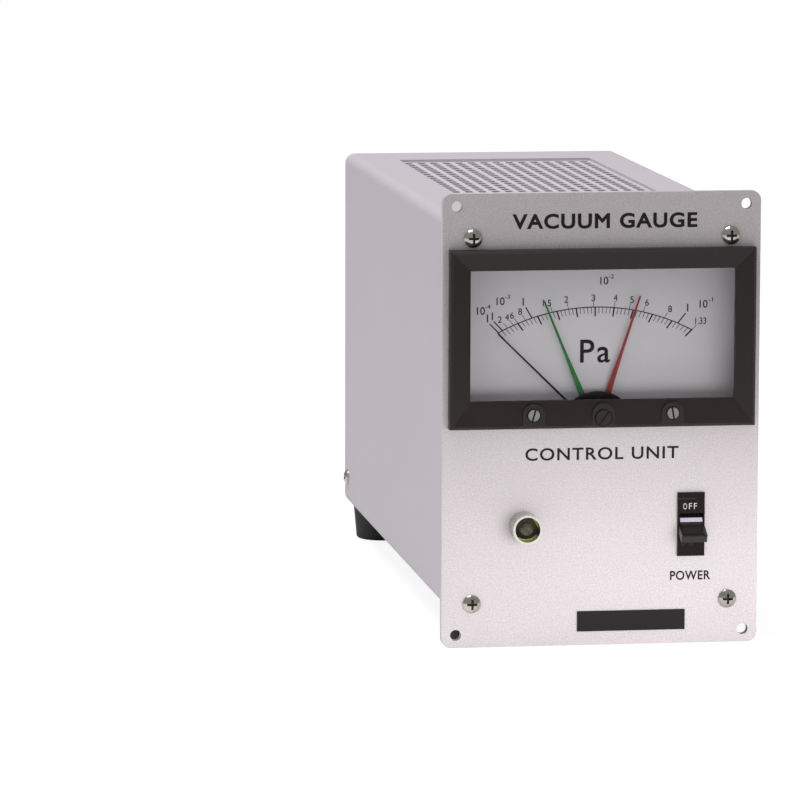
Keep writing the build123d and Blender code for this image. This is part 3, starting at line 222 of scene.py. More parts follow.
def recess_painted_shade(bench, node, head_r, recess_r, depth):
    """Where painted shade darkens the cross recesses of a node's four screws, which stand at the corners of its box.
    """
    low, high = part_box(node)
    spot = bench.add("ShaderNodeTexCoord", output=3)
    across = bench.add("ShaderNodeSeparateXYZ", None, {"Vector": spot}, output=0)
    up = bench.add("ShaderNodeSeparateXYZ", None, {"Vector": spot}, output=2)
    x = abs(across - (low[0] + high[0]) / 2) - ((high[0] - low[0]) / 2 - head_r)
    z = abs(up - (low[2] + high[2]) / 2) - ((high[2] - low[2]) / 2 - head_r)
    near = bench.ramp((x * x + z * z) ** 0.5 / recess_r, (0.96, 1.0), (1.0, 0.0))
    return near * bench.ramp(bench.behind(low[1], depth), (0.5, 0.0), (0.75, 1.0))


def plated_metal(name, colour, roughness, painted_shade=None):
    """Bright plating over steel, with small stains, rubbed spots and painted shade where a function puts it."""
    made, bench = material(name)
    stain = bench.noise(bench.place(), 320.0, 3.0, 0.5)
    rub = bench.ramp(bench.noise(bench.place(), 1500.0, 3.0), (0.45, 0.0), (0.7, 1.0))
    colours = bench.blend(stain, shade(colour, -0.1), shade(colour, 0.06))
    if painted_shade:
        # Painted shade: near black where the given mask lies.
        colours = bench.mix(painted_shade(bench), colours, (0.035, 0.03, 0.025, 1))
    bench.surface(Base_Color=colours, Metallic=1.0, Roughness=stain * 0.1 + rub * 0.06 + (roughness - 0.08),
                  Normal=bench.bump(stain, 0.000006, 0.2))
    return made


def turned_metal(name, colour, roughness, axis_x, axis_z, face):
    """Metal turned on a lathe about an axis along Y, with fine rings, and darker behind its face, so in its slot:
    painted shade, partly grime.
    """
    made, bench = material(name)
    spot = bench.place((1, 0.0001, 1), centre=(axis_x, 0, axis_z))
    rings = bench.add("ShaderNodeTexWave", {"wave_type": "RINGS", "rings_direction": "Y"},
                      {"Vector": spot, "Scale": 1500.0, "Distortion": 0.4, "Detail": 2.0})
    grain = bench.noise(bench.place(), 900.0, 3.0)
    clean = bench.blend(rings * 0.5 + grain * 0.5, shade(colour, -0.12), shade(colour, 0.08))
    # Painted shade, partly grime: near black deeper than its face, so in its slot.
    painted_shade = bench.ramp(bench.behind(face, 1.0 * MM), (0.2, 0.0), (0.45, 1.0))
    colours = bench.mix(painted_shade, clean, (0.03, 0.028, 0.026, 1))
    bench.surface(Base_Color=colours, Metallic=1.0, Roughness=grain * 0.16 + (roughness - 0.08),
                  Normal=bench.bump(rings, 0.000008, 0.4))
    return made


def moulding(name, colour, roughness, grain_size, depth, gloss=0.4):
    """Moulded plastic or rubber with a fine grain and a little dust."""
    made, bench = material(name)
    grain = bench.noise(bench.place(), grain_size, 2.0, 0.6)
    haze = bench.noise(bench.place(), 60.0, 3.0)
    colours = bench.blend(haze * 0.6 + grain * 0.4, shade(colour, -0.2), shade(colour, 0.25))
    bench.surface(Base_Color=colours, Roughness=haze * 0.12 + grain * 0.08 + (roughness - 0.1),
                  Specular_IOR_Level=gloss, Normal=bench.bump(grain, depth, 0.35))
    return made


def castings(name, colour, roughness):
    """Rough oxide-grey iron."""
    made, bench = material(name)
    pits = bench.noise(bench.place(), 700.0, 6.0, 0.65)
    colours = bench.blend(pits, shade(colour, -0.3), shade(colour, 0.3))
    bench.surface(Base_Color=colours, Metallic=0.7, Roughness=pits * 0.3 + (roughness - 0.15),
                  Normal=bench.bump(pits, 0.00006, 0.5))
    return made


def winding_wire(name, colour):
    """Rows of lacquered copper wire wound about Y or Z."""
    made, bench = material(name)
    turns = bench.add("ShaderNodeTexWave", {"wave_type": "BANDS", "bands_direction": "Z"},
                      {"Vector": bench.place(), "Scale": 420.0, "Distortion": 0.6, "Detail": 1.0})
    grain = bench.noise(bench.place(), 400.0, 3.0)
    colours = bench.blend(turns * 0.7 + grain * 0.3, shade(colour, -0.35), shade(colour, 0.1))
    bench.surface(Base_Color=colours, Metallic=0.8, Roughness=0.35, Normal=bench.bump(turns, 0.0001, 0.6))
    return made


def dial_card_with_painted_light(name, colour):
    """Matt paint on the dial, with painted light that makes it a little lighter round its border, where the bezel
    stands over it.
    """
    made, bench = material(name)
    low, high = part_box("meter_window")
    tooth = bench.noise(bench.place(), 3800.0, 2.0, 0.6)
    across, up = bench.share(low, high)
    # Painted light: the bands at the top and bottom and at left and right of the dial are lightened to offset the
    # bezel's shade, and the middle is a little darker.
    painted_edge_light = bench.ramp(up, (0.0, 1.0), (0.25, 0.85), (0.75, 0.85), (1.0, 1.0))
    side = bench.ramp(across, (0.0, 1.0), (0.12, 0.9), (0.8, 0.9), (1.0, 1.0))
    colours = bench.blend(painted_edge_light * side * 0.94 + tooth * 0.06, shade(colour, -0.35), colour)
    bench.surface(Base_Color=colours, Roughness=tooth * 0.15 + 0.5, Normal=bench.bump(tooth, 0.000006, 0.3))
    return made


def clear_glass(name, tint, gloss):
    """A clear pane: see-through but for a faint gloss and specks of dust."""
    made, bench = material(name)
    dust = bench.ramp(bench.noise(bench.place(), 2600.0, 2.0), (0.7, 0.0), (0.84, 1.0))
    smear = bench.noise(bench.place((1, 1, 3)), 30.0, 3.0)
    colours = bench.blend(dust, tint, (0.4, 0.4, 0.4))
    bench.surface(Base_Color=colours, Roughness=smear * 0.06 + dust * 0.2 + 0.02, IOR=1.45,
                  Alpha=dust * 0.04 + gloss)
    return made


def lamp_plastic_with_painted_light(name, tint):
    """Smoked yellow-green plastic, with painted light: two bright arcs painted at its rim, painted rings of light
    round the bulb and painted blotches of light.
    """
    made, bench = material(name)
    low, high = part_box("lamp_lens")
    across, up = bench.share(low, high)
    x = across * 2 - 1
    z = up * 2 - 1
    reach = (x * x + z * z) ** 0.5
    # Painted light: rings of light round the bulb.
    rings = bench.ramp(reach, (0.0, 0.7), (0.14, 0.9), (0.28, 0.4), (0.42, 0.7),
                       (0.56, 0.0), (0.8, 0.0), (1.0, 0.3))
    rim = bench.ramp(reach, (0.76, 0.0), (0.88, 1.0))
    # Painted light: bright arcs at the lower and the right rim.
    painted_lower_arc = bench.ramp((x * 0.15 - z * 0.99) * rim, (0.55, 0.0), (0.72, 1.0))
    painted_side_arc = bench.ramp((x * 0.86 + z * 0.5) * rim, (0.8, 0.0), (0.9, 0.8))
    cast = bench.noise(bench.place(), 700.0, 2.0)
    painted_light_blotches = bench.ramp(cast, (0.4, 0.25), (0.62, 1.0))
    # Painted light: the rings and blotches lift the body from near black to olive, and the painted arcs take a
    # lighter yellow-green.
    body = bench.blend(rings * painted_light_blotches * 0.85 + cast * 0.1, (0.010, 0.007, 0.003), (0.10, 0.105, 0.045))
    colours = bench.mix(painted_lower_arc + painted_side_arc, body, bench.blend(cast, tint, shade(tint, 0.5)))
    bench.surface(Base_Color=colours, Roughness=cast * 0.06 + 0.1, IOR=1.45, Coat_Weight=0.3,
                  Normal=bench.bump(cast, 0.00001, 0.3))
    return made


def ink(name, colour, roughness=0.5):
    """Screen-printed ink with a slightly uneven film."""
    made, bench = material(name)
    film = bench.noise(bench.place(), 2200.0, 3.0, 0.6)
    colours = bench.blend(film, shade(colour, -0.15), shade(colour, 0.2))
    bench.surface(Base_Color=colours, Roughness=film * 0.15 + (roughness - 0.07), Specular_IOR_Level=0.2,
                  Normal=bench.bump(film, 0.000004, 0.3))
    return made


def set_material(piece, made):
    """Give a piece one material all over."""
    piece.data.materials.clear()
    piece.data.materials.append(made)


# Modelling helpers

def deselect():
    if bpy.context.object and bpy.context.object.mode != "OBJECT":
        bpy.ops.object.mode_set(mode="OBJECT")
    bpy.ops.object.select_all(action="DESELECT")


def settle(piece):
    """Put a piece's place, turn and size into its mesh."""
    deselect()
    piece.select_set(True)
    bpy.context.view_layer.objects.active = piece
    bpy.ops.object.transform_apply(location=True, rotation=True, scale=True)


def joined(pieces, name):
    """Several pieces as one."""
    deselect()
    for piece in pieces:
        piece.select_set(True)
    bpy.context.view_layer.objects.active = pieces[0]
    if len(pieces) > 1:
        bpy.ops.object.join()
    whole = bpy.context.view_layer.objects.active
    whole.name = name
    whole.data.name = name
    return whole


def dress(piece, made, body):
    """Finish a piece: its material and the body it rides on."""
    set_material(piece, made)
    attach(piece, body)
    return piece


def words(text, weight=0.0, spacing=1.0, slant=0.0):
    """Letters of unit size, as a mesh that faces the front of the unit. The weight widens their strokes."""
    deselect()
    bpy.ops.object.text_add(location=(0, 0, 0))
    piece = bpy.context.object
    piece.data.body = text
    piece.data.bevel_depth = weight
    piece.data.bevel_resolution = 0
    piece.data.space_character = spacing
    piece.data.shear = slant
    piece.data.resolution_u = 6
    piece.data.extrude = 0.01
    bpy.ops.object.convert(target="MESH")
    piece = bpy.context.object
    piece.rotation_euler = (pi / 2, 0, 0)
    settle(piece)
    return piece


def extent(piece):
    """The lowest and highest corners of a piece's own mesh."""
    points = [vertex.co for vertex in piece.data.vertices]
    low = Vector(min(point[i] for point in points) for i in range(3))
    high = Vector(max(point[i] for point in points) for i in range(3))
    return low, high


def fit_print(piece, middle, height, face, film, width=None):
    """Scale letters to a height, and a width if one is given, and lay them on a face."""
    low, high = extent(piece)
    size = high - low
    tall = height / size.z
    wide = width / size.x if width else tall
    piece.scale = (wide, film / size.y, tall)
    centre = (low + high) / 2
    piece.location = (middle[0] - centre.x * wide, face - film / 2 - centre.y * film / size.y,
                      middle[1] - centre.z * tall)
    settle(piece)
    return piece


def printed_bar():
    """A flat bar of unit length and width that stands on its lower end and faces the front."""
    deselect()
    bpy.ops.mesh.primitive_plane_add(size=1, location=(0, 0, 0.5), rotation=(pi / 2, 0, 0))
    bpy.ops.object.mode_set(mode="EDIT")
    bpy.ops.mesh.select_all(action="SELECT")
    bpy.ops.mesh.extrude_region_move(TRANSFORM_OT_translate={"value": (0, 1, 0)})
    bpy.ops.mesh.select_all(action="SELECT")
    bpy.ops.mesh.normals_make_consistent(inside=False)
    bpy.ops.object.mode_set(mode="OBJECT")
    piece = bpy.context.object
    settle(piece)
    return piece


def copy_bar(bar, foot, angle, length, width, face, film):
    """A copy of the printed bar, laid from its foot at an angle from upright, clockwise."""
    piece = bar.copy()
    piece.data = bar.data.copy()
    bpy.context.collection.objects.link(piece)
    piece.matrix_world = (Matrix.Translation((foot[0], face - film, foot[1])) @ Matrix.Rotation(angle, 4, "Y")
                          @ Matrix.Diagonal((width, film, length, 1)))
    return piece


def swept_band(name, corners, sweep, centre, axis, steps):
    """A small rectangle, given by its four corners in order, swept about an axis into a closed band."""
    deselect()
    bpy.ops.mesh.primitive_plane_add(size=1, location=(0, 0, 0))
    band = bpy.context.object
    first, second, third, fourth = corners
    for vertex, corner in zip(band.data.vertices, (first, second, fourth, third)):
        vertex.co = corner
    bpy.ops.object.mode_set(mode="EDIT")
    bpy.ops.mesh.select_all(action="SELECT")
    bpy.ops.mesh.spin(steps=steps, angle=sweep, center=centre, axis=axis)
    bpy.ops.mesh.select_all(action="SELECT")
    bpy.ops.mesh.normals_make_consistent(inside=False)
    bpy.ops.object.mode_set(mode="OBJECT")
    band.name = name
    band.data.name = name
    return band


def swept_arc(name, centre, radius, width, face, film, half_angle, steps):
    """A printed arc on a face, swept about a centre from left to right."""
    def corner(reach, depth):
        return Vector((centre[0] - reach * sin(half_angle), depth, centre[1] + reach * cos(half_angle)))
    inner = radius - width / 2
    outer = radius + width / 2
    corners = (corner(inner, face - film), corner(outer, face - film), corner(outer, face), corner(inner, face))
    return swept_band(name, corners, 2 * half_angle, (centre[0], face, centre[1]), (0, -1, 0), steps)


# Sizes and colours that a user would change

class FinishSettings(bpy.types.PropertyGroup):
    """Colours of the unit's outside."""

    panel: bpy.props.FloatVectorProperty(
        name="Panel", description="Brushed aluminium of the front panel", subtype="COLOR",
        size=3, min=0, max=1, default=(0.53, 0.49, 0.50))
    case: bpy.props.FloatVectorProperty(
        name="Case", description="Paint of the case sleeve and rear panel", subtype="COLOR",
        size=3, min=0, max=1, default=(0.50, 0.46, 0.50))
    grille: bpy.props.FloatVectorProperty(
        name="Vent grille", description="Paint of the perforated sheet in the top", subtype="COLOR",
        size=3, min=0, max=1, default=(0.55, 0.50, 0.56))
    bezel: bpy.props.FloatVectorProperty(
        name="Bezel", description="Black moulding round the meter", subtype="COLOR",
        size=3, min=0, max=1, default=(0.017, 0.012, 0.011))
    dial: bpy.props.FloatVectorProperty(
        name="Dial", description="Paint of the dial", subtype="COLOR",
        size=3, min=0, max=1, default=(0.84, 0.81, 0.85))
    green: bpy.props.FloatVectorProperty(
        name="Green set pointer", description="Paint of the lower set pointer", subtype="COLOR",
        size=3, min=0, max=1, default=(0.028, 0.19, 0.045))
    red: bpy.props.FloatVectorProperty(
        name="Red set pointer", description="Paint of the upper set pointer", subtype="COLOR",
        size=3, min=0, max=1, default=(0.33, 0.045, 0.04))


class LetteringSettings(bpy.types.PropertyGroup):
    """Words printed on the panel and the switch."""

    title: bpy.props.StringProperty(
        name="Title", description="Words above the meter", default="VACUUM GAUGE")
    title_height: bpy.props.FloatProperty(
        name="Title height", description="Height of the title's capitals", default=5.0 * MM,
        min=1 * MM, max=10 * MM, unit="LENGTH", subtype="DISTANCE")
    title_width: bpy.props.FloatProperty(
        name="Title width", description="Width of the title", default=61.1 * MM,
        min=20 * MM, max=90 * MM, unit="LENGTH", subtype="DISTANCE")
    subtitle: bpy.props.StringProperty(
        name="Second line", description="Words under the meter", default="CONTROL UNIT")
    subtitle_height: bpy.props.FloatProperty(
        name="Second line height", description="Height of the second line's capitals", default=4.15 * MM,
        min=1 * MM, max=10 * MM, unit="LENGTH", subtype="DISTANCE")
    subtitle_width: bpy.props.FloatProperty(
        name="Second line width", description="Width of the second line", default=50.9 * MM,
        min=20 * MM, max=90 * MM, unit="LENGTH", subtype="DISTANCE")
    film: bpy.props.FloatProperty(
        name="Ink thickness", description="Thickness of the printed ink", default=0.03 * MM,
        min=0.005 * MM, max=0.2 * MM, unit="LENGTH", subtype="DISTANCE")


class DialSettings(bpy.types.PropertyGroup):
    """Sizes of the two scales on the dial."""

    arc_radius: bpy.props.FloatProperty(
        name="Arc radius", description="Radius of the line that both scales share", default=68.85 * MM,
        min=40 * MM, max=120 * MM, unit="LENGTH", subtype="DISTANCE")
    arc_centre: bpy.props.FloatProperty(
        name="Arc centre height", description="Height of the arc's centre", default=-33.1 * MM,
        min=-100 * MM, max=0, unit="LENGTH", subtype="DISTANCE")
    line_width: bpy.props.FloatProperty(
        name="Line width", description="Width of the arc line", default=0.34 * MM,
        min=0.1 * MM, max=1 * MM, unit="LENGTH", subtype="DISTANCE")
    sweep: bpy.props.FloatProperty(
        name="Sweep", description="Angle from the first to the last mark, seen from the pivot",
        default=radians(90.3), min=radians(30), max=radians(120), unit="ROTATION", subtype="ANGLE")
    first: bpy.props.FloatProperty(
        name="First mark", description="Angle of the first mark from upright", default=radians(-45.4),
        min=radians(-60), max=0, unit="ROTATION", subtype="ANGLE")
    majors: bpy.props.IntProperty(
        name="Main divisions", description="Main divisions of the lower scale", default=10, min=2, max=20)
    minors: bpy.props.IntProperty(
        name="Small divisions", description="Small divisions in each main one", default=5, min=1, max=10)
    unit_name: bpy.props.StringProperty(
        name="Unit", description="Unit printed on the dial", default="Pa")


class StageSettings(bpy.types.PropertyGroup):
    """The camera."""

    lens: bpy.props.FloatProperty(
        name="Lens", description="Focal length in millimetres on a 36 mm sensor", default=245.22,
        min=20, max=400)
    camera_place: bpy.props.FloatVectorProperty(
        name="Camera place", description="Where the camera stands", size=3, subtype="TRANSLATION",
        unit="LENGTH", default=(-0.3247, -1.7359, 0.2429))
    camera_yaw: bpy.props.FloatProperty(
        name="Camera yaw", description="Turn to the right", default=0.147993, unit="ROTATION", subtype="ANGLE")
    camera_pitch: bpy.props.FloatProperty(
        name="Camera pitch", description="Tilt downwards", default=0.133483, unit="ROTATION", subtype="ANGLE")
    camera_roll: bpy.props.FloatProperty(
        name="Camera roll", description="Roll of the camera", default=0.002706, unit="ROTATION", subtype="ANGLE")


# Operators

class VACUUM_OT_finish_unit(bpy.types.Operator):
    """Give every CAD part its material"""

    bl_idname = "vacuum_unit.finish_unit"
    bl_label = "Finish the unit's parts"

    def execute(self, context):
        look = context.scene.vacuum_finish
        adjusters = {}
        for side in ("left", "right"):
            place = joint_places[side + "_adjuster_turn"]
            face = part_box(side + "_adjuster")[0][1]
            adjusters[side] = turned_metal(side + " adjuster steel", (0.36, 0.35, 0.35), 0.36, place[0], place[2],
                                           face)
        makes = {
            "panel_aluminium": blasted_metal("panel aluminium", tuple(look.panel), 0.5, 0.15),
            "case_paint": sheet_paint("case paint", tuple(look.case), 0.5, 0.00002),
            "grille_paint": sheet_paint("grille paint", tuple(look.grille), 0.55, 0.00002),
            "zinc_steel": plated_metal("zinc plating", (0.52, 0.53, 0.52), 0.42),
            "nickel": plated_metal("nickel plating", (0.60, 0.57, 0.52), 0.26),
            "black_moulding": moulding("black moulding", tuple(look.bezel), 0.40, 2600.0, 0.00001, 0.3),
            "meter_glass": clear_glass("meter glass", (0.03, 0.03, 0.035), 0.06),
            "dial_paint": dial_card_with_painted_light("dial paint", tuple(look.dial)),
            "black_paint": ink("black paint", (0.012, 0.011, 0.012), 0.45),
            "green_paint": ink("green paint", tuple(look.green), 0.42),
            "red_paint": ink("red paint", tuple(look.red), 0.42),
            "brass": brushed_metal("brass", (0.60, 0.43, 0.20), "x", 0.35, 1.0, 0.08),
            "soft_iron": castings("soft iron", (0.16, 0.16, 0.17), 0.6),
            "copper": winding_wire("copper winding", (0.55, 0.22, 0.10)),
            "lamp_glass": lamp_plastic_with_painted_light("lamp plastic", (0.40, 0.40, 0.12)),
            "switch_black": moulding("switch black", (0.010, 0.007, 0.006), 0.42, 3000.0, 0.000012, 0.12),
            "rubber": moulding("foot rubber", (0.018, 0.017, 0.018), 0.62, 1800.0, 0.00003),
            "board_laminate": moulding("board laminate", (0.03, 0.12, 0.05), 0.4, 900.0, 0.00001),
            "component_plastic": moulding("component plastic", (0.04, 0.04, 0.045), 0.4, 1500.0, 0.00001),
            "white_insulator": moulding("white insulator", (0.72, 0.70, 0.62), 0.4, 1500.0, 0.00001),
            "spring_steel": plated_metal("bright steel", (0.58, 0.57, 0.56), 0.3),
        }
        slots = {part["node"]: part["material_slot"] for part in frame["record"]["subparts"]}
        for node, piece in frame["nodes"].items():
            set_material(piece, makes[slots[node]])
        for side, made in adjusters.items():
            set_material(frame["nodes"][side + "_adjuster"], made)
        set_material(frame["nodes"]["power_lever"],
                     moulding("lever black", (0.012, 0.009, 0.008), 0.26, 3000.0, 0.000006, 0.5))
        # Painted shade: the ring darkens behind its front face.
        ring_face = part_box("lamp_holder")[0][1]
        set_material(frame["nodes"]["lamp_holder"],
                     plated_metal("lamp ring nickel", (0.90, 0.89, 0.85), 0.3,
                                  lambda bench: bench.ramp(bench.behind(ring_face, MM), (0.1, 0.0), (0.3, 0.4))))
        # Painted shade in the screws' cross recesses.
        set_material(frame["nodes"]["panel_screws"],
                     plated_metal("panel screw nickel", (0.60, 0.57, 0.52), 0.24,
                                  lambda bench: recess_painted_shade(bench, "panel_screws", 3.0 * MM, 1.75 * MM, 1.2 * MM)))
        return {"FINISHED"}


class VACUUM_OT_panel_lettering(bpy.types.Operator):
    """Print the title, the second line and the word over the lever's place on the panel"""

    bl_idname = "vacuum_unit.panel_lettering"
    bl_label = "Panel lettering"

    def execute(self, context):
        text = context.scene.vacuum_lettering
        black = ink("panel ink", (0.012, 0.010, 0.012))
        title = words(text.title, 0.032, 1.12)
        fit_print(title, (0.85 * MM, 65.25 * MM), text.title_height, panel_face, text.film, text.title_width)
        subtitle = words(text.subtitle, 0.016, 1.12)
        fit_print(subtitle, (0.45 * MM, -11.1 * MM), text.subtitle_height, panel_face, text.film,
                  text.subtitle_width)
        power = words("POWER", 0.022, 1.08)
        fit_print(power, (30.15 * MM, -52.05 * MM), 3.1 * MM, panel_face, text.film, 13.5 * MM)
        dress(joined([title, subtitle, power], "panel_lettering"), black, "unit")
        return {"FINISHED"}


class VACUUM_OT_switch_marks(bpy.types.Operator):
    """Print ON and OFF on the switch, a painted highlight line along its top and the stripe on the lever's drum"""

    bl_idname = "vacuum_unit.switch_marks"
    bl_label = "Switch marks"

    def execute(self, context):
        film = context.scene.vacuum_lettering.film
        pale = ink("pale switch ink", (0.50, 0.49, 0.50))
        off = self.letters("OFF", (-2.1, -0.3, 1.35), 6.0, film)
        dress(joined(off, "off_word"), pale, "unit")
        on = self.letters("ON", (-2.6, 0.0), -6.1, film)
        dress(joined(on, "on_word"), ink("worn switch ink", (0.03, 0.03, 0.032)), "unit")
        bar = printed_bar()
        # Painted highlight: a thin grey line along the top edge of the switch housing.
        line = copy_bar(bar, (housing_mid.x - 1.4 * MM, housing_mid.z + 8.45 * MM), 0, 0.14 * MM, 5.7 * MM,
                        housing_face, film)
        bpy.data.objects.remove(bar)
        dress(joined([line], "switch_edge_painted_highlight"), ink("painted highlight ink", (0.05, 0.05, 0.055)), "unit")
        self.stripe(film)
        return {"FINISHED"}

    def letters(self, text, places, height, film):
        """Narrow letters, each at its own place along the switch; places and height are in millimetres."""
        return [fit_print(words(letter), (housing_mid.x + place * MM, housing_mid.z + height * MM), 2.0 * MM,
                          housing_face, film, (1.0 if letter == "F" else 1.25) * MM)
                for letter, place in zip(text, places)]

    def stripe(self, film):
        """A pale band along the drum, swept about the drum's axis."""
        half = 3.68 * MM
        radius = 3.2 * MM
        start = radians(15)
        sweep = radians(26)

        def corner(x, reach):
            return Vector((rocker.x + x, rocker.y - reach * cos(start), rocker.z + reach * sin(start)))
        outer = radius + film
        corners = (corner(-half, radius), corner(-half, outer), corner(half, outer), corner(half, radius))
        band = swept_band("drum_stripe", corners, sweep, tuple(rocker), (1, 0, 0), 12)
        dress(band, ink("lilac white paint", (0.46, 0.42, 0.53)), "power_rocker")


class VACUUM_OT_dial_scales(bpy.types.Operator):
    """Print the arc and the marks of both scales"""

    bl_idname = "vacuum_unit.dial_scales"
    bl_label = "Dial scales"

    upper_thin = (-41.0, -38.3, -36.3, -32.8, -20.4, -12.9, -1.0, 8.7, 15.8, 22.4, 32.3, 45.0)
    upper_bold = (-45.1, -43.3, -29.9, 38.5)

    def execute(self, context):
        size = context.scene.vacuum_dial
        film = context.scene.vacuum_lettering.film
        black = ink("scale ink", (0.016, 0.014, 0.018))
        grey = ink("fine mark ink", (0.11, 0.10, 0.12))
        half = atan2(32.4 * MM, 27.6 * MM - size.arc_centre)
        arc = swept_arc("arc", (0, size.arc_centre), size.arc_radius, size.line_width, dial_face, film, half, 72)
        bar = printed_bar()
        bold = [arc]
        fine = []
        step = size.sweep / size.majors
        for i in range(size.majors + 1):
            angle = size.first + i * step
            bold.append(self.mark(bar, size, film, angle, -3.0 * MM, 0.48 * MM))
            for j in range(1, size.minors):
                if i < size.majors:
                    fine.append(self.mark(bar, size, film, angle + j * step / size.minors, -2.1 * MM, 0.24 * MM))
        for degrees_from_top in self.upper_bold:
            bold.append(self.mark(bar, size, film, radians(degrees_from_top), 4.2 * MM, 0.42 * MM))
        for degrees_from_top in self.upper_thin:
            fine.append(self.mark(bar, size, film, radians(degrees_from_top), 2.1 * MM, 0.22 * MM))
        bpy.data.objects.remove(bar)
        dress(joined(bold, "scale_marks"), black, "unit")
        dress(joined(fine, "fine_scale_marks"), grey, "unit")
        return {"FINISHED"}

    def mark(self, bar, size, film, angle, length, width):
        """A mark on the arc, which points at the pivot; a negative length goes inwards."""
        rise = pivot.z - size.arc_centre
        reach = -rise * cos(angle) + sqrt(size.arc_radius ** 2 - (rise * sin(angle)) ** 2)
        foot = reach + min(length, 0)
        place = (pivot.x + foot * sin(angle), pivot.z + foot * cos(angle))
        return copy_bar(bar, place, angle, abs(length), width, dial_face, film)


class VACUUM_OT_dial_numbers(bpy.types.Operator):
    """Print the numbers and the unit on the dial"""

    bl_idname = "vacuum_unit.dial_numbers"
    bl_label = "Dial numbers"

    powers = (("4", -37.2, 35.4), ("3", -30.7, 38.5), ("2", 3.7, 44.8), ("1", 36.9, 36.7))
    tall = (("1", -35.9, 32.5), ("1", -34.3, 33.2), ("1", -24.1, 37.8), ("1", 30.7, 35.1))
    small = (("2", -31.8, 32.1), ("4", -29.4, 32.8), ("6", -27.8, 33.4), ("8", -25.1, 34.6), ("1.5", -16.2, 37.3),
             ("2", -9.8, 38.4), ("3", -0.8, 38.8), ("4", 6.6, 38.7), ("5", 12.1, 38.0), ("6", 17.1, 37.0),
             ("8", 24.8, 34.8), ("1.33", 35.1, 30.7))

    def execute(self, context):
        film = context.scene.vacuum_lettering.film
        weight = 0.012
        slant = 0.0
        pieces = []
        for power, x, z in self.powers:
            ten = words("10", weight, 1.0, slant)
            pieces.append(fit_print(ten, ((x - 0.9) * MM, (z - 0.4) * MM), 2.6 * MM, dial_face, film, 2.7 * MM))
            raised = words("-" + power, weight, 1.0, slant)
            pieces.append(fit_print(raised, ((x + 1.45) * MM, (z + 1.0) * MM), 1.45 * MM, dial_face, film,
                                    1.6 * MM))
        for digit, x, z in self.tall:
            one = words(digit, weight, 1.0, slant)
            pieces.append(fit_print(one, (x * MM, z * MM), 2.6 * MM, dial_face, film))
        for digits, x, z in self.small:
            wide = 1.3 * MM if len(digits) == 1 else 0.92 * MM * len(digits)
            number = words(digits, weight, 1.0, slant)
            pieces.append(fit_print(number, (x * MM, z * MM), 2.2 * MM, dial_face, film, wide))
        dress(joined(pieces, "dial_numbers"), ink("number ink", (0.022, 0.020, 0.024)), "unit")
        name = words(context.scene.vacuum_dial.unit_name, 0.010, 1.15)
        fit_print(name, (-0.1 * MM, 21.2 * MM), 7.7 * MM, dial_face, film, 10.0 * MM)
        dress(joined([name], "dial_unit_name"), ink("unit ink", (0.012, 0.010, 0.012)), "unit")
        return {"FINISHED"}


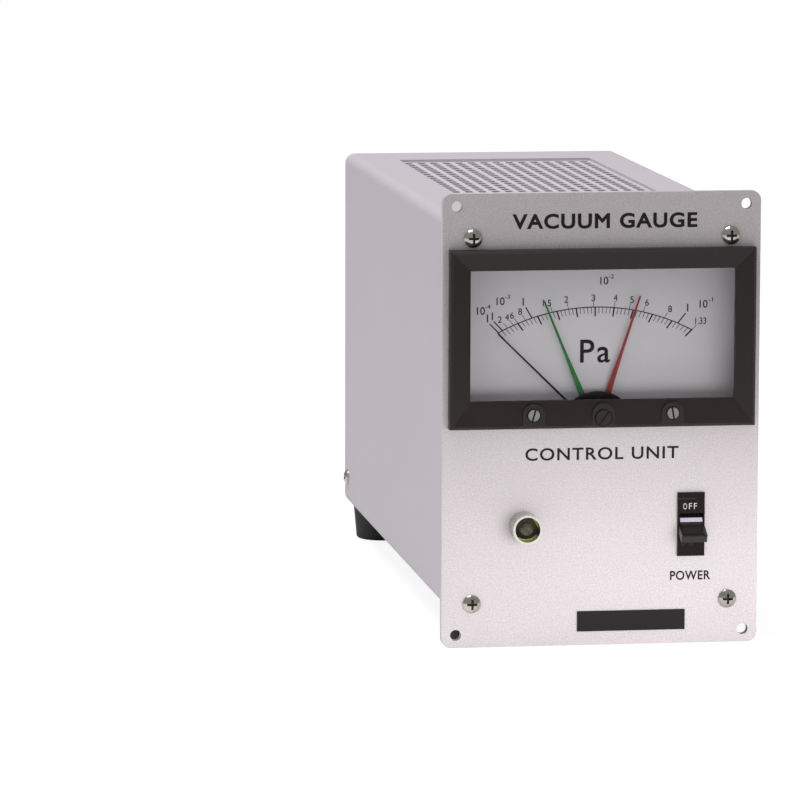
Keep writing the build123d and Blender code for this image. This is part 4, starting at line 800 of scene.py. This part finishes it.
class VACUUM_OT_stage(bpy.types.Operator):
    """Set the floor, the background, the lights and the camera"""

    bl_idname = "vacuum_unit.stage"
    bl_label = "Stage"

    def execute(self, context):
        self.floor()
        self.world(context.scene)
        self.light("key", (-0.6, 0.1, 1.95), (0, 0.1, 0.0), (1.0, 1.0), 36)
        low_front = self.light("low_front", (0.05, -0.19, -0.033), (0.02, 0.0, -0.08), (0.25, 0.08), 0.108)
        low_front.data.spread = radians(70)
        low_front.visible_glossy = False
        self.camera(context.scene)
        context.scene.view_settings.view_transform = "Standard"
        return {"FINISHED"}

    def floor(self):
        deselect()
        bpy.ops.mesh.primitive_plane_add(size=6, location=(0, 0, panel_low[2] - 0.00005))
        floor = bpy.context.object
        floor.name = "floor"
        made, bench = material("floor")
        grain = bench.noise(bench.place(), 6.0, 2.0)
        lit = bench.add("ShaderNodeBsdfPrincipled", None,
                        {"Base Color": bench.blend(grain, (0.72, 0.72, 0.73), (0.76, 0.76, 0.76)), "Roughness": 0.9})
        glow = bench.add("ShaderNodeEmission", None, {"Color": (1, 1, 1, 1), "Strength": 1.18})
        seen = bench.add("ShaderNodeLightPath", output=0)
        mix = bench.add("ShaderNodeMixShader", None, {0: seen * 0.75, 1: lit, 2: glow})
        bench.add("ShaderNodeOutputMaterial", None, {"Surface": mix})
        set_material(floor, made)

    def world(self, scene):
        scene.world = bpy.data.worlds.new("studio")
        bench = Bench(scene.world)
        seen = bench.add("ShaderNodeLightPath", output=0)
        mirrored = bench.add("ShaderNodeLightPath", output=3)
        through = bench.add("ShaderNodeLightPath", output=6)
        strength = seen * 0.5 - mirrored * 0.2 + through * 0.5 + 0.5
        glow = bench.add("ShaderNodeBackground", None, {"Color": (1, 1, 1, 1), "Strength": strength})
        bench.add("ShaderNodeOutputWorld", None, {"Surface": glow})

    def light(self, name, place, target, size, watts):
        lamp = bpy.data.lights.new(name, "AREA")
        lamp.shape = "RECTANGLE"
        lamp.size, lamp.size_y = size
        lamp.energy = watts
        piece = bpy.data.objects.new(name, lamp)
        bpy.context.collection.objects.link(piece)
        piece.visible_camera = False
        piece.location = place
        piece.rotation_euler = (Vector(target) - Vector(place)).to_track_quat("-Z", "Y").to_euler()
        return piece

    def camera(self, scene):
        view = scene.vacuum_stage
        data = bpy.data.cameras.new("camera")
        data.sensor_width = 36.0
        data.lens = view.lens
        data.clip_start = 0.05
        data.clip_end = 20.0
        piece = bpy.data.objects.new("camera", data)
        bpy.context.collection.objects.link(piece)
        turn = (Matrix.Rotation(-view.camera_yaw, 4, "Z") @ Matrix.Rotation(pi / 2 - view.camera_pitch, 4, "X")
                @ Matrix.Rotation(view.camera_roll, 4, "Z"))
        piece.matrix_world = Matrix.Translation(Vector(view.camera_place)) @ turn
        scene.camera = piece


class VACUUM_PT_panel(bpy.types.Panel):
    """Buttons and settings for the vacuum gauge control unit"""

    bl_label = "Vacuum Gauge"
    bl_idname = "VACUUM_PT_panel"
    bl_space_type = "VIEW_3D"
    bl_region_type = "UI"
    bl_category = "Vacuum Gauge"

    def draw(self, context):
        for group in ("vacuum_finish", "vacuum_lettering", "vacuum_dial", "vacuum_stage"):
            settings = getattr(context.scene, group)
            box = self.layout.box()
            for key in settings.__annotations__:
                box.prop(settings, key)
        for operator in OPERATORS:
            self.layout.operator(operator.bl_idname)


OPERATORS = (
    VACUUM_OT_finish_unit,
    VACUUM_OT_panel_lettering,
    VACUUM_OT_switch_marks,
    VACUUM_OT_dial_scales,
    VACUUM_OT_dial_numbers,
    VACUUM_OT_stage,
)
SETTINGS = {
    "vacuum_finish": FinishSettings,
    "vacuum_lettering": LetteringSettings,
    "vacuum_dial": DialSettings,
    "vacuum_stage": StageSettings,
}


def register():
    for group in SETTINGS.values():
        bpy.utils.register_class(group)
    for name, group in SETTINGS.items():
        setattr(bpy.types.Scene, name, bpy.props.PointerProperty(type=group))
    for operator in OPERATORS:
        bpy.utils.register_class(operator)
    bpy.utils.register_class(VACUUM_PT_panel)


def unregister():
    bpy.utils.unregister_class(VACUUM_PT_panel)
    for operator in reversed(OPERATORS):
        bpy.utils.unregister_class(operator)
    for name, group in SETTINGS.items():
        delattr(bpy.types.Scene, name)
        bpy.utils.unregister_class(group)


def main():
    register()
    bpy.ops.vacuum_unit.finish_unit()
    bpy.ops.vacuum_unit.panel_lettering()
    bpy.ops.vacuum_unit.switch_marks()
    bpy.ops.vacuum_unit.dial_scales()
    bpy.ops.vacuum_unit.dial_numbers()
    bpy.ops.vacuum_unit.stage()


if __name__ == "__main__":
    main()
